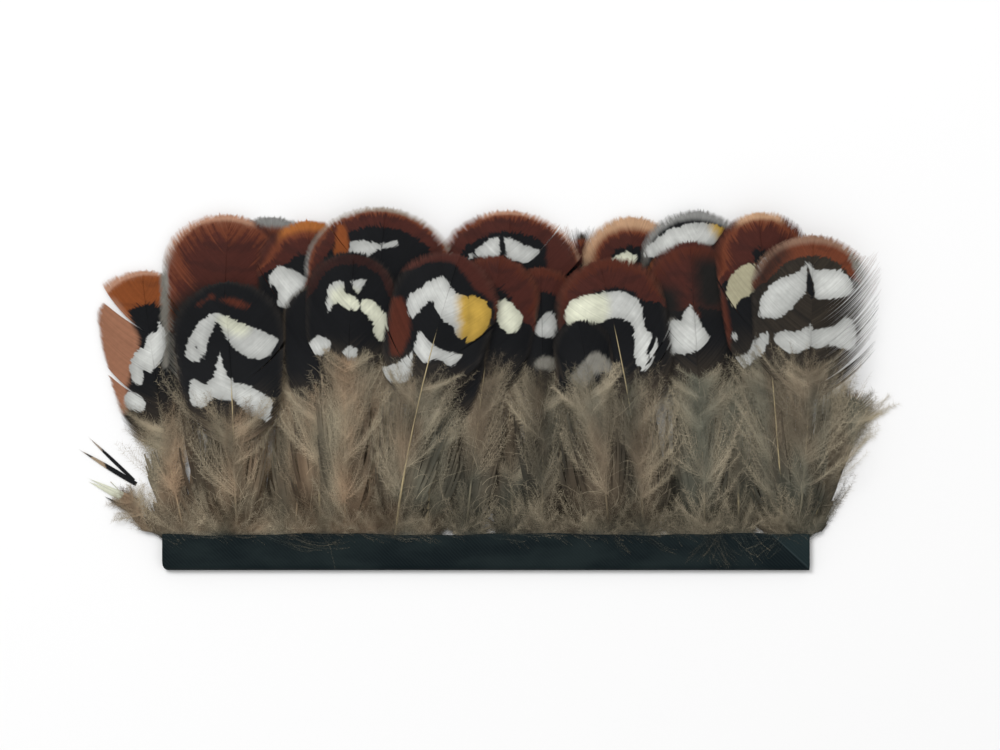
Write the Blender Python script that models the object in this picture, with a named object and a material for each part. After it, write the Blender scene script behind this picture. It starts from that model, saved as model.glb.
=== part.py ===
"""Feather fringe trim: pheasant body feathers held by their quills in a folded fabric binding."""

import math

import bmesh
import bpy
from mathutils import Vector

MM = 0.001

# The shapes are drawn with the binding's fold at y = 0 and its underside at z = 0, in mm. The
# frame's origin is the middle of that underside, this far in from the fold.
BACK_MIDDLE_Y = 5.0

# Binding, mm.
TAPE_HALF_LENGTH = 87.2
TAPE_DEPTH = 10.0
TAPE_THICK = 2.9
PLY = 0.45
HEM = 0.2
HEM_DEPTH = 4.4
MOUTH_WAVE = 0.25
CORNER_RADIUS = 1.7
TAPE_STEPS = 24
FOLD_STEPS = 6

# Quills and the heights that the feathers are stacked at, mm.
ROOT_Y = 2.0
QUILL_HEIGHT = 1.45
QUILL_RADIUS = 0.5
SHAFT_TIP_RADIUS = 0.2
LOWEST_LAYER = 0.45
LAYER_STEP = 1.2
RISE_START = 10.0
RISE_END = 21.0
# The down keeps the feathers further apart than the vanes do, by this much a layer.
DOWN_LOFT = 0.4
LOFT_FULL_Y = 32.0
LOFT_FALL_Y = 38.0
LOFT_END_Y = 62.0
CAMBER = 0.4
VANE_HALF_THICK = 0.17

# Vane outline, mm, or a share of the half-width or of the shaft.
NECK_HALF_WIDTH = 1.1
NECK_Y = 12.5
DOWN_START_Y = 12.3
DOWN_FULL_Y = 22.0
DOWN_SHARE = 0.66
ROUND_SHARE = 0.82
SHAFT_SHORT = 0.2
WIDEST_BARB = 0.66
BARB_BEND_OUT = 0.58
BARB_BEND_UP = 0.36
STATIONS = 19
DOWN_LOCK_DEPTH = 0.24
VANE_LOCK_DEPTH = 0.05

# Root x, bend x, tip x, tip y, half-width (mm), and layer, counted from the lowest.
FEATHERS = {
    "feather_01": (-84.2, -92.0, -109.3, 31.0, 5.6, 0),
    "feather_02": (-79.6, -88.5, -92.9, 80.6, 13.4, 1),
    "feather_03": (-73.5, -72.6, -70.0, 95.9, 15.2, 2),
    "feather_04": (-67.2, -66.6, -72.1, 77.5, 16.2, 6),
    "feather_05": (-60.5, -59.5, -57.5, 95.3, 15.0, 0),
    "feather_06": (-52.4, -47.0, -47.8, 94.2, 14.0, 3),
    "feather_07": (-44.8, -44.3, -44.3, 77.0, 10.3, 5),
    "feather_08": (-37.8, -38.2, -35.4, 85.6, 12.2, 6),
    "feather_09": (-31.3, -32.5, -28.4, 97.7, 18.4, 4),
    "feather_10": (-25.4, -21.5, -8.1, 84.8, 15.7, 7),
    "feather_11": (-16.7, -14.6, -7.6, 72.9, 10.8, 5),
    "feather_12": (-6.2, -2.2, 3.8, 84.5, 12.4, 4),
    "feather_13": (7.8, 5.2, 6.6, 96.9, 19.0, 2),
    "feather_14": (14.9, 15.9, 14.6, 81.5, 10.8, 3),
    "feather_15": (21.6, 22.0, 26.0, 90.8, 12.5, 0),
    "feather_16": (27.5, 27.5, 27.5, 70.0, 9.5, 5),
    "feather_17": (33.8, 31.5, 24.6, 67.0, 7.6, 7),
    "feather_18": (38.6, 38.3, 39.7, 95.3, 13.5, 1),
    "feather_19": (43.2, 41.5, 31.4, 85.3, 15.0, 6),
    "feather_20": (52.4, 55.1, 57.0, 96.9, 14.8, 2),
    "feather_21": (59.4, 57.8, 54.6, 88.4, 12.6, 4),
    "feather_22": (68.6, 67.2, 65.3, 77.0, 10.8, 3),
    "feather_23": (80.4, 77.4, 73.0, 96.3, 12.6, 5),
    "feather_24": (83.2, 87.3, 87.6, 90.2, 16.3, 6),
    "feather_25": (85.6, 91.0, 99.8, 47.0, 7.6, 0),
}

# Splits in a vane: side (-1 left, 1 right), station, and how far along the barb the split starts.
SPLITS = {
    "feather_01": ((-1, 18, 0.2), (1, 18, 0.2), (-1, 17, 0.5), (1, 17, 0.5)),
    "feather_02": ((-1, 15, 0.22), (-1, 9, 0.7), (1, 12, 0.7)),
    "feather_03": ((-1, 11, 0.6),),
    "feather_04": ((1, 11, 0.65),),
    "feather_06": ((1, 13, 0.6),),
    "feather_09": ((1, 14, 0.75),),
    "feather_10": ((1, 12, 0.7), (-1, 10, 0.7)),
    "feather_13": ((1, 13, 0.65),),
    "feather_15": ((1, 13, 0.6),),
    "feather_19": ((-1, 10, 0.6),),
    "feather_23": ((-1, 11, 0.65),),
    "feather_24": ((1, 10, 0.6), (1, 13, 0.75)),
}
# A feather whose tip is parted: its shaft ends early, and the middle barbs stop short.
SHAFT_SHORT_OF = {"feather_01": 1.7}
TIP_REACH = {"feather_01": 0.12}

TAPE_COLOUR = (0.012, 0.025, 0.026, 1.0)
FEATHER_COLOUR = (0.12, 0.055, 0.03, 1.0)


def smooth(low, high, value):
    share = min(1.0, max(0.0, (value - low) / (high - low)))
    return share * share * (3.0 - 2.0 * share)


def in_frame(x, y, z):
    """A drawn point, mm, as a point of the row's frame, m."""
    return Vector((x, y - BACK_MIDDLE_Y, z)) * MM


def clear_scene():
    for item in list(bpy.data.objects):
        bpy.data.objects.remove(item, do_unlink=True)


def new_collection(name):
    made = bpy.data.collections.new(name)
    bpy.context.scene.collection.children.link(made)
    return made


def material(name, colour, roughness):
    made = bpy.data.materials.new(name)
    made.use_nodes = True
    shader = made.node_tree.nodes["Principled BSDF"]
    shader.inputs["Base Color"].default_value = colour
    shader.inputs["Roughness"].default_value = roughness
    return made


def solid(name, body, collection, surface):
    """Turn the closed faces in body into a named object with outward faces."""
    bmesh.ops.recalc_face_normals(body, faces=body.faces)
    mesh = bpy.data.meshes.new(name)
    body.to_mesh(mesh)
    body.free()
    mesh.materials.append(surface)
    made = bpy.data.objects.new(name, mesh)
    collection.objects.link(made)
    return made


def tape_section():
    """The folded section as (y, z) points: round the outside, then back inside the fold."""
    outer = TAPE_THICK / 2.0
    inner = outer - PLY
    middle = outer
    hem_y = TAPE_DEPTH - HEM_DEPTH
    points = [(TAPE_DEPTH, 0.0)]
    for step in range(FOLD_STEPS + 1):
        turn = math.pi * step / FOLD_STEPS
        points.append((outer - outer * math.sin(turn), middle - outer * math.cos(turn)))
    points.append((TAPE_DEPTH, TAPE_THICK))
    points.append((TAPE_DEPTH, TAPE_THICK - PLY - HEM))
    points.append((hem_y, TAPE_THICK - PLY - HEM))
    points.append((hem_y - HEM, TAPE_THICK - PLY))
    for step in range(FOLD_STEPS + 1):
        turn = math.pi * (1.0 - step / FOLD_STEPS)
        points.append((outer - inner * math.sin(turn), middle - inner * math.cos(turn)))
    points.append((hem_y - HEM, PLY))
    points.append((hem_y, PLY + HEM))
    points.append((TAPE_DEPTH, PLY + HEM))
    return points


def tape_stations():
    """Where the section is set along the tape, closer together round the worn corner."""
    first = -TAPE_HALF_LENGTH
    corner = [first + CORNER_RADIUS * share for share in (0.0, 0.12, 0.4, 0.7)]
    start = first + CORNER_RADIUS
    run = TAPE_HALF_LENGTH - start
    return corner + [start + run * step / TAPE_STEPS for step in range(TAPE_STEPS + 1)]


def corner_inset(x):
    """How far the rounded corner takes the fold back at x."""
    along = x + TAPE_HALF_LENGTH
    if along >= CORNER_RADIUS:
        return 0.0
    left = CORNER_RADIUS - along
    return CORNER_RADIUS - math.sqrt(CORNER_RADIUS * CORNER_RADIUS - left * left)


def mouth_wave(x):
    return MOUTH_WAVE * (math.sin(x * 0.11) + 0.5 * math.sin(x * 0.37 + 1.0)) - MOUTH_WAVE


def build_tape(collection):
    body = bmesh.new()
    section = tape_section()
    rings = []
    for x in tape_stations():
        inset = corner_inset(x)
        wave = mouth_wave(x)
        ring = []
        for y, z in section:
            share = y / TAPE_DEPTH
            placed_y = inset + (TAPE_DEPTH - inset) * share + wave * max(0.0, share - 0.5) * 2.0
            ring.append(body.verts.new(in_frame(x, placed_y, z)))
        rings.append(ring)
    count = len(section)
    for near, far in zip(rings, rings[1:]):
        for i in range(count):
            j = (i + 1) % count
            body.faces.new((near[i], near[j], far[j], far[i]))
    body.faces.new(rings[0])
    body.faces.new(rings[-1])
    bmesh.ops.triangulate(body, faces=body.faces)
    return solid("binding_tape", body, collection, material("binding_satin", TAPE_COLOUR, 0.6))


def shaft_point(shape, along):
    """The point at this share of the feather's length, and the direction to its right."""
    root_x, bend_x, tip_x, tip_y = shape[:4]
    root = Vector((root_x, ROOT_Y))
    bend = Vector((bend_x, (ROOT_Y + tip_y) / 2.0))
    tip = Vector((tip_x, tip_y))
    back = 1.0 - along
    point = back * back * root + 2.0 * back * along * bend + along * along * tip
    run = back * (bend - root) + along * (tip - bend)
    run.normalize()
    return point, Vector((run.y, -run.x))


def feather_length(shape):
    steps = 40
    points = [shaft_point(shape, step / steps)[0] for step in range(steps + 1)]
    return sum((b - a).length for a, b in zip(points, points[1:]))


def stack_height(y, layer):
    """The height of a layer's middle at y: all quills meet in the tape and part above it."""
    loft = smooth(RISE_START, LOFT_FULL_Y, y) * (1.0 - smooth(LOFT_FALL_Y, LOFT_END_Y, y))
    high = LOWEST_LAYER + (LAYER_STEP + DOWN_LOFT * loft) * layer
    return QUILL_HEIGHT + (high - QUILL_HEIGHT) * smooth(RISE_START, RISE_END, y)


def half_width(shape, y, widest_y):
    """The outline's half-width below the widest part of the vane."""
    widest = shape[4]
    down = DOWN_SHARE * widest
    neck = NECK_HALF_WIDTH + (down - NECK_HALF_WIDTH) * smooth(DOWN_START_Y, DOWN_FULL_Y, y)
    return neck + (widest - down) * smooth(DOWN_FULL_Y, widest_y, y)


def share_of_height(shape, y):
    """The share of the feather's length at which its shaft reaches the height y."""
    low, high = 0.0, 1.0
    for _ in range(30):
        middle = (low + high) / 2.0
        if shaft_point(shape, middle)[0].y < y:
            low = middle
        else:
            high = middle
    return low


def shaft_end(name, shape, length):
    return 1.0 - SHAFT_SHORT_OF.get(name, SHAFT_SHORT) * shape[4] / length


def barb_ends(name, shape, length, share):
    """Where the barb at this share of the shaft starts, and the (side, share) where it ends."""
    widest = shape[4]
    first = share_of_height(shape, NECK_Y)
    last = shaft_end(name, shape, length)
    start = first + (last - first) * share
    round_start = 1.0 - ROUND_SHARE * widest / length
    if share < WIDEST_BARB:
        end = first + (round_start - first) * (0.03 + 0.97 * share / WIDEST_BARB)
        widest_y = shaft_point(shape, round_start)[0].y
        return start, half_width(shape, shaft_point(shape, end)[0].y, widest_y), end
    turn = (share - WIDEST_BARB) / (1.0 - WIDEST_BARB) * math.pi / 2.0
    end = round_start + (1.0 - round_start) * math.sin(turn)
    return start, widest * math.cos(turn), end


def placed(shape, side, along, rise):
    """A point of the vane in space, from its distance to the side and share of the length."""
    point, right = shaft_point(shape, along)
    flat = point + right * side
    droop = CAMBER * min(1.0, abs(side) / shape[4]) ** 2
    return in_frame(flat.x, flat.y, stack_height(flat.y, shape[5]) - droop + rise)


def quill_ring(body, shape, along, radius):
    ring = []
    for step in range(8):
        turn = math.pi * step / 4.0
        side = -radius * math.cos(turn)
        ring.append(body.verts.new(placed(shape, side, along, radius * math.sin(turn))))
    return ring


def lock_share(name, side, station):
    """How much of its full reach this lock of barbs has."""
    for split_side, split_station, share in SPLITS.get(name, ()):
        if split_side == side and split_station == station:
            return share
    inner = station % 2 == (0 if side < 0 else 1)
    depth = DOWN_LOCK_DEPTH if station < STATIONS * 0.5 else VANE_LOCK_DEPTH
    return 1.0 - depth if inner and station > 1 else 1.0


def vane_ring(body, name, shape, length, station):
    """A ring that follows the barbs: out along the left one, and back along the right one."""
    share = station / STATIONS
    start, side_end, end = barb_ends(name, shape, length, share)
    radius = QUILL_RADIUS + (SHAFT_TIP_RADIUS - QUILL_RADIUS) * min(1.0, share * 1.1)
    thick = VANE_HALF_THICK
    points = {}
    for side in (-1, 1):
        reach = lock_share(name, side, station)
        edge = (side * side_end * reach, start + (end - start) * reach)
        half = reach * 0.5
        bend_side = 2.0 * half * (1.0 - half) * BARB_BEND_OUT + half * half
        bend_up = 2.0 * half * (1.0 - half) * BARB_BEND_UP + half * half
        middle = (side * side_end * bend_side, start + (end - start) * bend_up)
        points[side] = (edge, middle)
    left_edge, left_middle = points[-1]
    right_edge, right_middle = points[1]
    spots = (
        (*left_edge, 0.0),
        (*left_middle, thick),
        (0.0, start, radius),
        (*right_middle, thick),
        (*right_edge, 0.0),
        (*right_middle, -thick),
        (0.0, start, -radius),
        (*left_middle, -thick),
    )
    return [body.verts.new(placed(shape, side, along, rise)) for side, along, rise in spots]


def join_rings(body, near, far):
    """Skin two rings; the top and the underside are split along the same lines."""
    for outer, inner in ((0, 1), (1, 2), (4, 3), (3, 2), (0, 7), (7, 6), (4, 5), (5, 6)):
        body.faces.new((near[outer], near[inner], far[inner]))
        body.faces.new((near[outer], far[inner], far[outer]))


def build_feather(name, shape, collection):
    body = bmesh.new()
    length = feather_length(shape)
    rings = [quill_ring(body, shape, 0.0, QUILL_RADIUS * 0.8)]
    for y in (ROOT_Y + 0.8, RISE_START, (RISE_START + NECK_Y) / 2.0):
        rings.append(quill_ring(body, shape, share_of_height(shape, y), QUILL_RADIUS))
    for station in range(STATIONS):
        rings.append(vane_ring(body, name, shape, length, station))
    for near, far in zip(rings, rings[1:]):
        join_rings(body, near, far)
    last_share = shaft_end(name, shape, length)
    tip_share = last_share + (1.0 - last_share) * TIP_REACH.get(name, 1.0)
    tip = body.verts.new(placed(shape, 0.0, tip_share, 0.0))
    last = rings[-1]
    for i in range(8):
        body.faces.new((last[i], last[(i + 1) % 8], tip))
    body.faces.new(rings[0])
    bmesh.ops.triangulate(body, faces=[face for face in body.faces if len(face.verts) > 3])
    return solid(name, body, collection, material(name + "_vane", FEATHER_COLOUR, 0.7))


def main():
    clear_scene()
    trim = new_collection("feather_fringe_trim")
    build_tape(trim)
    for name, shape in FEATHERS.items():
        build_feather(name, shape, trim)


main()
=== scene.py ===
"""The look of the pheasant feather fringe trim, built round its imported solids."""
import math

import bmesh
import bpy
import numpy as np
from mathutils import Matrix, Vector


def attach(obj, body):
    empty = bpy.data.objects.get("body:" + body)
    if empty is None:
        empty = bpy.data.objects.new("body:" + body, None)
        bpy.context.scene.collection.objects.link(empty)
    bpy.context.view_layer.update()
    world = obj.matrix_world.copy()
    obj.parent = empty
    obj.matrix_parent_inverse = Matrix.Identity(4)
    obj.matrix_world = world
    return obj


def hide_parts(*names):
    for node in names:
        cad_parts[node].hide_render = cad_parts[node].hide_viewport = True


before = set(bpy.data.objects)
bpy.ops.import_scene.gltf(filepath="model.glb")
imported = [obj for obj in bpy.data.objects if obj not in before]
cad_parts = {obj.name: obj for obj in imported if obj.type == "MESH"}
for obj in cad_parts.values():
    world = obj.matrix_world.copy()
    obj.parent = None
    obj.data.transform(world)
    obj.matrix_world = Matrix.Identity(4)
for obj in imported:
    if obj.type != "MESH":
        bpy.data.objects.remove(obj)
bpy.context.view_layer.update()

MM = 0.001

# The feathers are drawn with the binding's fold at y = 0, in mm, as the solids are.
BACK_MIDDLE_Y = 5.0
TAPE_HALF_LENGTH = 87.2
TAPE_DEPTH = 10.0
TAPE_THICK = 2.9
PLY = 0.45
HEM = 0.2
HEM_DEPTH = 4.4
CORNER_RADIUS = 1.7
# How far strands stay inside the binding's ends, off its cloth, and how deep its mouth is.
END_MARGIN = 0.3
CLOTH_GAP = 0.1
MOUTH_DEPTH = 2.0
# A point on the diagonal crease at the binding's right end, mm, and the way across it.
CREASE_X = 79.3
CREASE_Y = 7.7
CREASE_TURN = (0.676, 0.737)

# Where quills start, and how the layers part above the binding.
ROOT_Y = 2.0
QUILL_HEIGHT = 1.45
QUILL_RADIUS = 0.42
SHAFT_TIP_RADIUS = 0.11
LOWEST_LAYER = 0.45
FLOOR_GAP = 0.04
LIFT_LIMIT = 0.85
LAYER_STEP = 1.2
RISE_START = 10.0
RISE_END = 21.0
DOWN_LOFT = 0.4
LOFT_FULL_Y = 32.0
LOFT_FALL_Y = 38.0
LOFT_END_Y = 62.0
CAMBER = 0.4

# How a feather's width grows along it, and how its barbs leave the shaft.
NECK_Y = 10.6
DOWN_FULL_Y = 19.0
NECK_HALF_WIDTH = 2.6
DOWN_SHARE = 0.66
ROUND_SHARE = 0.82
SHAFT_SHORT = 0.2
WORN_SHAFT_SHORT = 1.7
SHAFT_LIFT = 0.05
WIDEST_BARB = 0.66
BARB_BEND_OUT = 0.58
BARB_BEND_UP = 0.36

# Barbs of the vane, mm: how far apart they leave the shaft, and how they are cut into faces.
BARB_SPACING = 0.34
BARB_STEPS = 13
BARB_TILT = 0.02
FRINGE = 0.5
TIP_BARBS = 9

# Plumes of the down, mm.
PLUME_SPACING = 0.38
PLUME_STEPS = 9
BASAL_PLUMES = 44
BASAL_RISE = 14.0
PLUME_RISE = 22.0
BARBULE_SPACING = 0.4
BARBULE_LENGTH = 2.5
BARBULE_WIDTH = 0.075
PLUME_WIDTH = 0.065
PLUME_LIFT = 0.6
# How much painted shade darkens the down towards each feather's sides, between the columns.
COLUMN_PAINTED_SHADE = 0.42
UNDER_STRANDS = 58
UNDER_WIDTH = 1.6
STRAY_HAIRS = 16
HAIR_WIDTH = 0.07
WISP_SIZE = 0.2
WISP_SHADE = 0.36

# Feathers are numbered from the left, and layers from the lowest.
# Root x, bend x, tip x, tip y, half-width (mm), and layer.
FEATHERS = {
    1: (-84.2, -92.0, -109.3, 31.0, 5.6, 0),
    2: (-79.6, -88.5, -92.9, 80.6, 13.4, 1),
    3: (-73.5, -72.2, -69.2, 95.9, 17.2, 2),
    4: (-67.2, -66.4, -70.4, 77.5, 15.2, 6),
    5: (-60.5, -59.5, -57.5, 95.3, 15.0, 0),
    6: (-52.4, -47.0, -47.8, 94.2, 14.0, 3),
    7: (-44.8, -44.3, -44.3, 77.0, 10.3, 5),
    8: (-37.8, -38.2, -35.4, 85.6, 12.2, 6),
    9: (-31.3, -31.6, -27.0, 97.7, 20.4, 4),
    10: (-25.4, -20.6, -7.0, 84.8, 14.4, 7),
    11: (-16.7, -14.6, -7.6, 72.9, 10.8, 5),
    12: (-6.2, -2.2, 3.8, 84.5, 12.4, 4),
    13: (7.8, 5.2, 6.4, 96.9, 19.8, 2),
    14: (14.9, 15.9, 14.6, 81.5, 10.8, 3),
    15: (21.6, 22.0, 26.0, 90.8, 12.5, 0),
    16: (27.5, 27.5, 27.5, 70.0, 9.5, 5),
    17: (33.8, 31.5, 24.6, 67.0, 7.6, 7),
    18: (38.6, 38.3, 39.7, 95.3, 13.5, 1),
    19: (43.2, 40.8, 30.2, 83.5, 15.0, 6),
    20: (52.4, 55.1, 57.0, 96.9, 14.8, 2),
    21: (59.4, 57.8, 54.6, 88.4, 12.6, 4),
    22: (68.6, 67.2, 65.3, 77.0, 10.8, 3),
    23: (80.4, 77.4, 73.0, 96.3, 12.6, 5),
    24: (83.2, 87.3, 87.6, 90.2, 16.3, 6),
    25: (85.6, 91.0, 99.8, 47.0, 7.6, 0),
}

# Colours as sRGB.
COLOURS = {
    "black": (0.055, 0.06, 0.07),
    "white": (0.745, 0.75, 0.735),
    "cream": (0.82, 0.825, 0.745),
    "yellow": (0.71, 0.58, 0.26),
    "rust": (0.48, 0.255, 0.12),
    "grey": (0.47, 0.46, 0.43),
    "maroon": (0.26, 0.125, 0.1),
    "dark_maroon": (0.17, 0.09, 0.08),
    "brown": (0.3, 0.142, 0.095),
    "light_tan": (0.56, 0.39, 0.3),
    "buff": (0.62, 0.6, 0.5),
    "fawn": (0.52, 0.4, 0.33),
    "down_tip": (0.56, 0.52, 0.44),
    "chestnut": (0.4, 0.21, 0.135),
    "orange": (0.6, 0.36, 0.17),
    "dark": (0.1, 0.095, 0.09),
    "tan": (0.66, 0.5, 0.41),
    "sand": (0.7, 0.56, 0.44),
    "slate": (0.5, 0.5, 0.49),
    "ash": (0.56, 0.51, 0.46),
    "umber": (0.2, 0.175, 0.145),
    "down": (0.5, 0.44, 0.368),
    "grey_down": (0.4, 0.372, 0.322),
    "horn": (0.67, 0.61, 0.47),
    "wisp": (0.42, 0.45, 0.44),
    "warm_cast": (1.0, 0.955, 0.92),
    "cool_cast": (0.9, 0.96, 0.97),
}

# Colours of the binding's cloth and of the floor, as linear light.
CLOTH_DARK = (0.0018, 0.005, 0.0068, 1.0)
CLOTH_WORN = (0.009, 0.015, 0.016, 1.0)
CLOTH_THREAD = (0.012, 0.02, 0.021, 1.0)
# The last two are painted light: a paler colour for the folded corner past the crease, and a painted
# highlight along the crease.
CLOTH_FOLD_PAINTED_LIGHT = (0.02, 0.034, 0.036, 1.0)
CLOTH_CREASE_HIGHLIGHT = (0.05, 0.07, 0.072, 1.0)
FLOOR_COLOUR = (0.86, 0.86, 0.86, 1.0)

# The studio: half the floor's side, m, the lights' places, sizes and powers, and the camera.
FLOOR_SIZE = 3.0
SKY_STRENGTH = 0.56
LIGHTS = {
    "key": ((-0.6, 0.9, 1.7), 0.8, 25.0),
    "fill": ((0.6, 0.1, 1.5), 1.2, 3.0),
}
CAMERA_LENS = 133.3
CAMERA_X = 0.0038
CAMERA_Y = 52.65

# Each vane's bands: rim colour, band colour, how deep each reaches from the edge (mm), how far
# from the tip the side bands fade, and how far from the tip the down starts.
BANDS = {
    1: ("ash", "umber", 1.0, 2.0, 30.0, 16.0),
    2: ("tan", "rust", 1.4, 9.0, 22.0, 42.0),
    3: ("tan", "maroon", 2.2, 23.0, 34.0, 44.0),
    4: ("black", "black", 0.5, 1.2, 30.0, 37.0),
    5: ("slate", "maroon", 3.4, 10.0, 22.0, 44.0),
    6: ("orange", "maroon", 3.4, 9.0, 16.0, 42.0),
    7: ("umber", "black", 1.0, 2.0, 20.0, 30.0),
    8: ("black", "dark_maroon", 0.8, 3.2, 15.0, 29.5),
    9: ("ash", "maroon", 1.4, 5.2, 26.0, 42.0),
    10: ("maroon", "black", 3.2, 3.6, 12.0, 36.0),
    11: ("black", "black", 1.0, 2.0, 20.0, 30.5),
    12: ("brown", "maroon", 1.0, 8.5, 20.0, 33.5),
    13: ("tan", "maroon", 1.3, 5.8, 24.0, 42.0),
    14: ("brown", "maroon", 1.6, 6.5, 15.0, 31.5),
    15: ("tan", "maroon", 2.0, 9.0, 22.0, 38.0),
    16: ("black", "black", 1.5, 5.0, 24.0, 24.0),
    17: ("black", "black", 1.0, 2.0, 20.0, 19.0),
    18: ("sand", "maroon", 4.0, 8.0, 20.0, 42.0),
    19: ("brown", "maroon", 1.8, 8.0, 17.0, 37.0),
    20: ("slate", "black", 3.0, 4.6, 20.0, 42.0),
    21: ("maroon", "maroon", 1.6, 14.0, 22.0, 37.0),
    22: ("black", "black", 1.5, 5.0, 24.0, 28.0),
    23: ("sand", "maroon", 2.4, 10.5, 20.0, 41.0),
    24: ("fawn", "chestnut", 2.8, 5.6, 16.0, 37.0),
    25: ("ash", "ash", 0.6, 0.9, 2.0, 5.0),
}

# Rims that are paler down the sides of their vane.
SIDE_RIMS = {
    2: "tan",
    3: "slate",
    9: "slate",
    24: "slate",
}

# Rims whose colour holds only between two places along the trim, mm, and the colour beyond.
RIM_SPANS = {
    3: (-92.0, -61.0, "maroon"),
    6: (-57.0, -40.0, "maroon"),
    13: (-3.0, 30.0, "chestnut"),
    15: (10.0, 24.0, "umber"),
    23: (66.0, 81.0, "brown"),
}

# Splits in a vane: side (-1 left, 1 right), share of the shaft, how wide it opens (mm).
SPLITS = {
    2: ((-1, 0.79, 5.0), (-1, 0.5, 2.0)),
    3: ((-1, 0.6, 1.6), (1, 0.7, 1.0)),
    4: ((1, 0.6, 1.2),),
    6: ((1, 0.7, 1.5), (-1, 0.66, 0.8)),
    9: ((1, 0.75, 0.9), (-1, 0.82, 0.8)),
    10: ((1, 0.62, 1.2), (-1, 0.55, 1.0)),
    13: ((1, 0.7, 1.8), (1, 0.84, 0.8)),
    15: ((1, 0.7, 1.6), (-1, 0.8, 1.2)),
    19: ((1, 0.56, 0.8), (1, 0.52, 0.8), (-1, 0.55, 1.0)),
    21: ((-1, 0.62, 1.2), (1, 0.5, 1.5)),
    23: ((-1, 0.6, 1.0), (1, 0.72, 0.8)),
    24: ((1, 0.5, 1.4), (1, 0.62, 1.2), (1, 0.72, 0.9)),
}

# Loose barbs that part from the vane: side, from and to (share of the shaft), reach (mm).
FRAYS = {
    1: ((-1, 0.0, 1.0, 1.0), (1, 0.0, 1.0, 1.0)),
    3: ((-1, 0.35, 0.6, 1.0),),
    10: ((1, 0.3, 0.5, 3.0),),
    12: ((1, 0.3, 0.5, 2.0),),
    15: ((1, 0.72, 1.0, 1.5), (-1, 0.8, 1.0, 1.5)),
    20: ((1, 0.3, 0.5, 2.0),),
    21: ((1, 0.28, 0.55, 4.0), (-1, 0.3, 0.42, 2.0)),
    24: ((1, 0.3, 0.78, 4.0),),
    25: ((-1, 0.0, 1.0, 2.0), (1, 0.0, 1.0, 3.0)),
}

# Slim loose blades where a vane is worn away: from, to and half-width, mm.
LOOSE_TIPS = {
    1: (
        ((-95.0, 24.2), (-107.4, 36.0), 0.55),
        ((-94.4, 23.2), (-110.0, 32.6), 0.75),
        ((-93.6, 18.8), (-108.0, 25.0), 0.45),
        ((-94.0, 17.4), (-107.6, 24.0), 0.85),
        ((-93.0, 14.6), (-103.0, 19.9), 0.8),
    ),
}

# Where the shaft turns pale, mm from the tip, on the feathers whose shaft shows.
QUILL_SHOWN = {
    4: 26.0,
    10: 20.0,
    12: 29.0,
    17: 16.0,
    19: 17.0,
    23: 33.0,
}

# Where the down hides a shaft again, mm from the tip.
QUILL_HIDDEN = {
    4: 38.0,
    10: 200.0,
    12: 50.0,
    17: 34.0,
    19: 39.0,
    23: 200.0,
}

# How far the down's plumes start across the shaft and hide it, mm.
SHAFT_COVER = {
    4: 0.4,
    10: 0.1,
    12: 0.3,
    19: 0.7,
    23: 0.0,
}

# Vanes whose ground is brown or downy, on the way from black (0) to down (1).
GROUND_FROM = {
    1: 0.9,
    24: 0.56,
    25: 1.0,
}

# How bright each feather's down is, where it differs.
DOWN_SHADES = {
    1: 1.45,
    2: 1.18,
    3: 0.85,
    5: 1.08,
    6: 1.2,
    7: 1.1,
    8: 1.27,
    9: 1.1,
    10: 1.06,
    11: 1.03,
    12: 0.84,
    13: 0.6,
    14: 0.55,
    15: 0.6,
    16: 0.72,
    18: 0.7,
    19: 0.92,
    21: 1.05,
    22: 0.8,
    24: 1.1,
    25: 1.1,
}

# How much denser than the others' the down of these feathers is.
DOWN_DENSITY = {
    1: 1.5,
    22: 1.3,
    23: 1.4,
    25: 1.5,
}

# How much further than its vane's width the down of one side spreads.
DOWN_REACH = {
    (2, -1): 1.25,
    (4, -1): 1.15,
    (22, 1): 1.3,
    (23, -1): 1.3,
    (24, 1): 1.2,
    (25, 1): 1.05,
}

# How far the down's tips rise past where the down starts, mm.
DOWN_OVERLAP = {
    1: -1.0,
    7: 2.0,
    8: 2.0,
    11: 2.0,
    21: 3.0,
    23: 4.0,
}

# How far the down right above the binding spreads to the open sides, mm.
BASAL_REACH = {
    (2, -1): 11.0,
    (1, -1): 4.0,
    (24, 1): 3.0,
    (25, 1): 6.0,
}

# How much more the higher ones of those plumes spread.
BASAL_FLARE = {
    (2, -1): 0.25,
    (25, 1): 0.9,
}

# Wisps of down over the binding: how many, from, to (mm), sag and how loose they lie.
WISPS = {
    2: ((9, (-80.5, 10.2), (-72.0, 9.6), 0.5, 1.2), (9, (-72.0, 10.4), (-62.0, 10.0), 0.4, 1.5)),
    5: (
        (7, (-54.0, 10.6), (-38.5, 7.4), 2.2, 0.9),
        (5, (-59.0, 10.0), (-44.0, 5.6), 1.0, 0.8),
        (4, (-46.0, 12.0), (-41.0, 5.4), 0.2, 0.8),
    ),
    6: ((1, (-43.6, 13.0), (-40.6, 0.2), 0.0, 0.1), (6, (-52.0, 10.6), (-43.0, 10.0), 0.5, 1.2)),
    9: ((9, (-27.0, 10.4), (-18.0, 9.0), 0.6, 1.3), (6, (-22.0, 11.0), (-13.0, 7.6), -0.4, 1.0)),
    13: ((6, (0.0, 10.2), (9.0, 10.0), 0.5, 1.5), (6, (10.0, 10.4), (20.0, 9.8), 0.4, 1.6)),
    18: ((5, (33.0, 10.6), (38.5, 4.6), 0.3, 0.7),),
    19: ((6, (43.0, 10.6), (50.0, 5.6), 0.8, 1.0),),
    21: (
        (12, (60.0, 11.0), (66.0, 3.0), 0.5, 1.7),
        (12, (64.0, 11.0), (57.5, 3.0), 0.5, 1.7),
        (9, (60.0, 9.0), (63.0, 1.2), 0.0, 1.6),
    ),
    22: ((10, (69.0, 11.0), (74.0, 3.0), 0.5, 1.8),),
    23: ((9, (79.0, 10.6), (73.0, 5.0), 0.6, 1.8), (6, (82.0, 10.4), (76.0, 9.6), 0.5, 1.5)),
}

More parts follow.
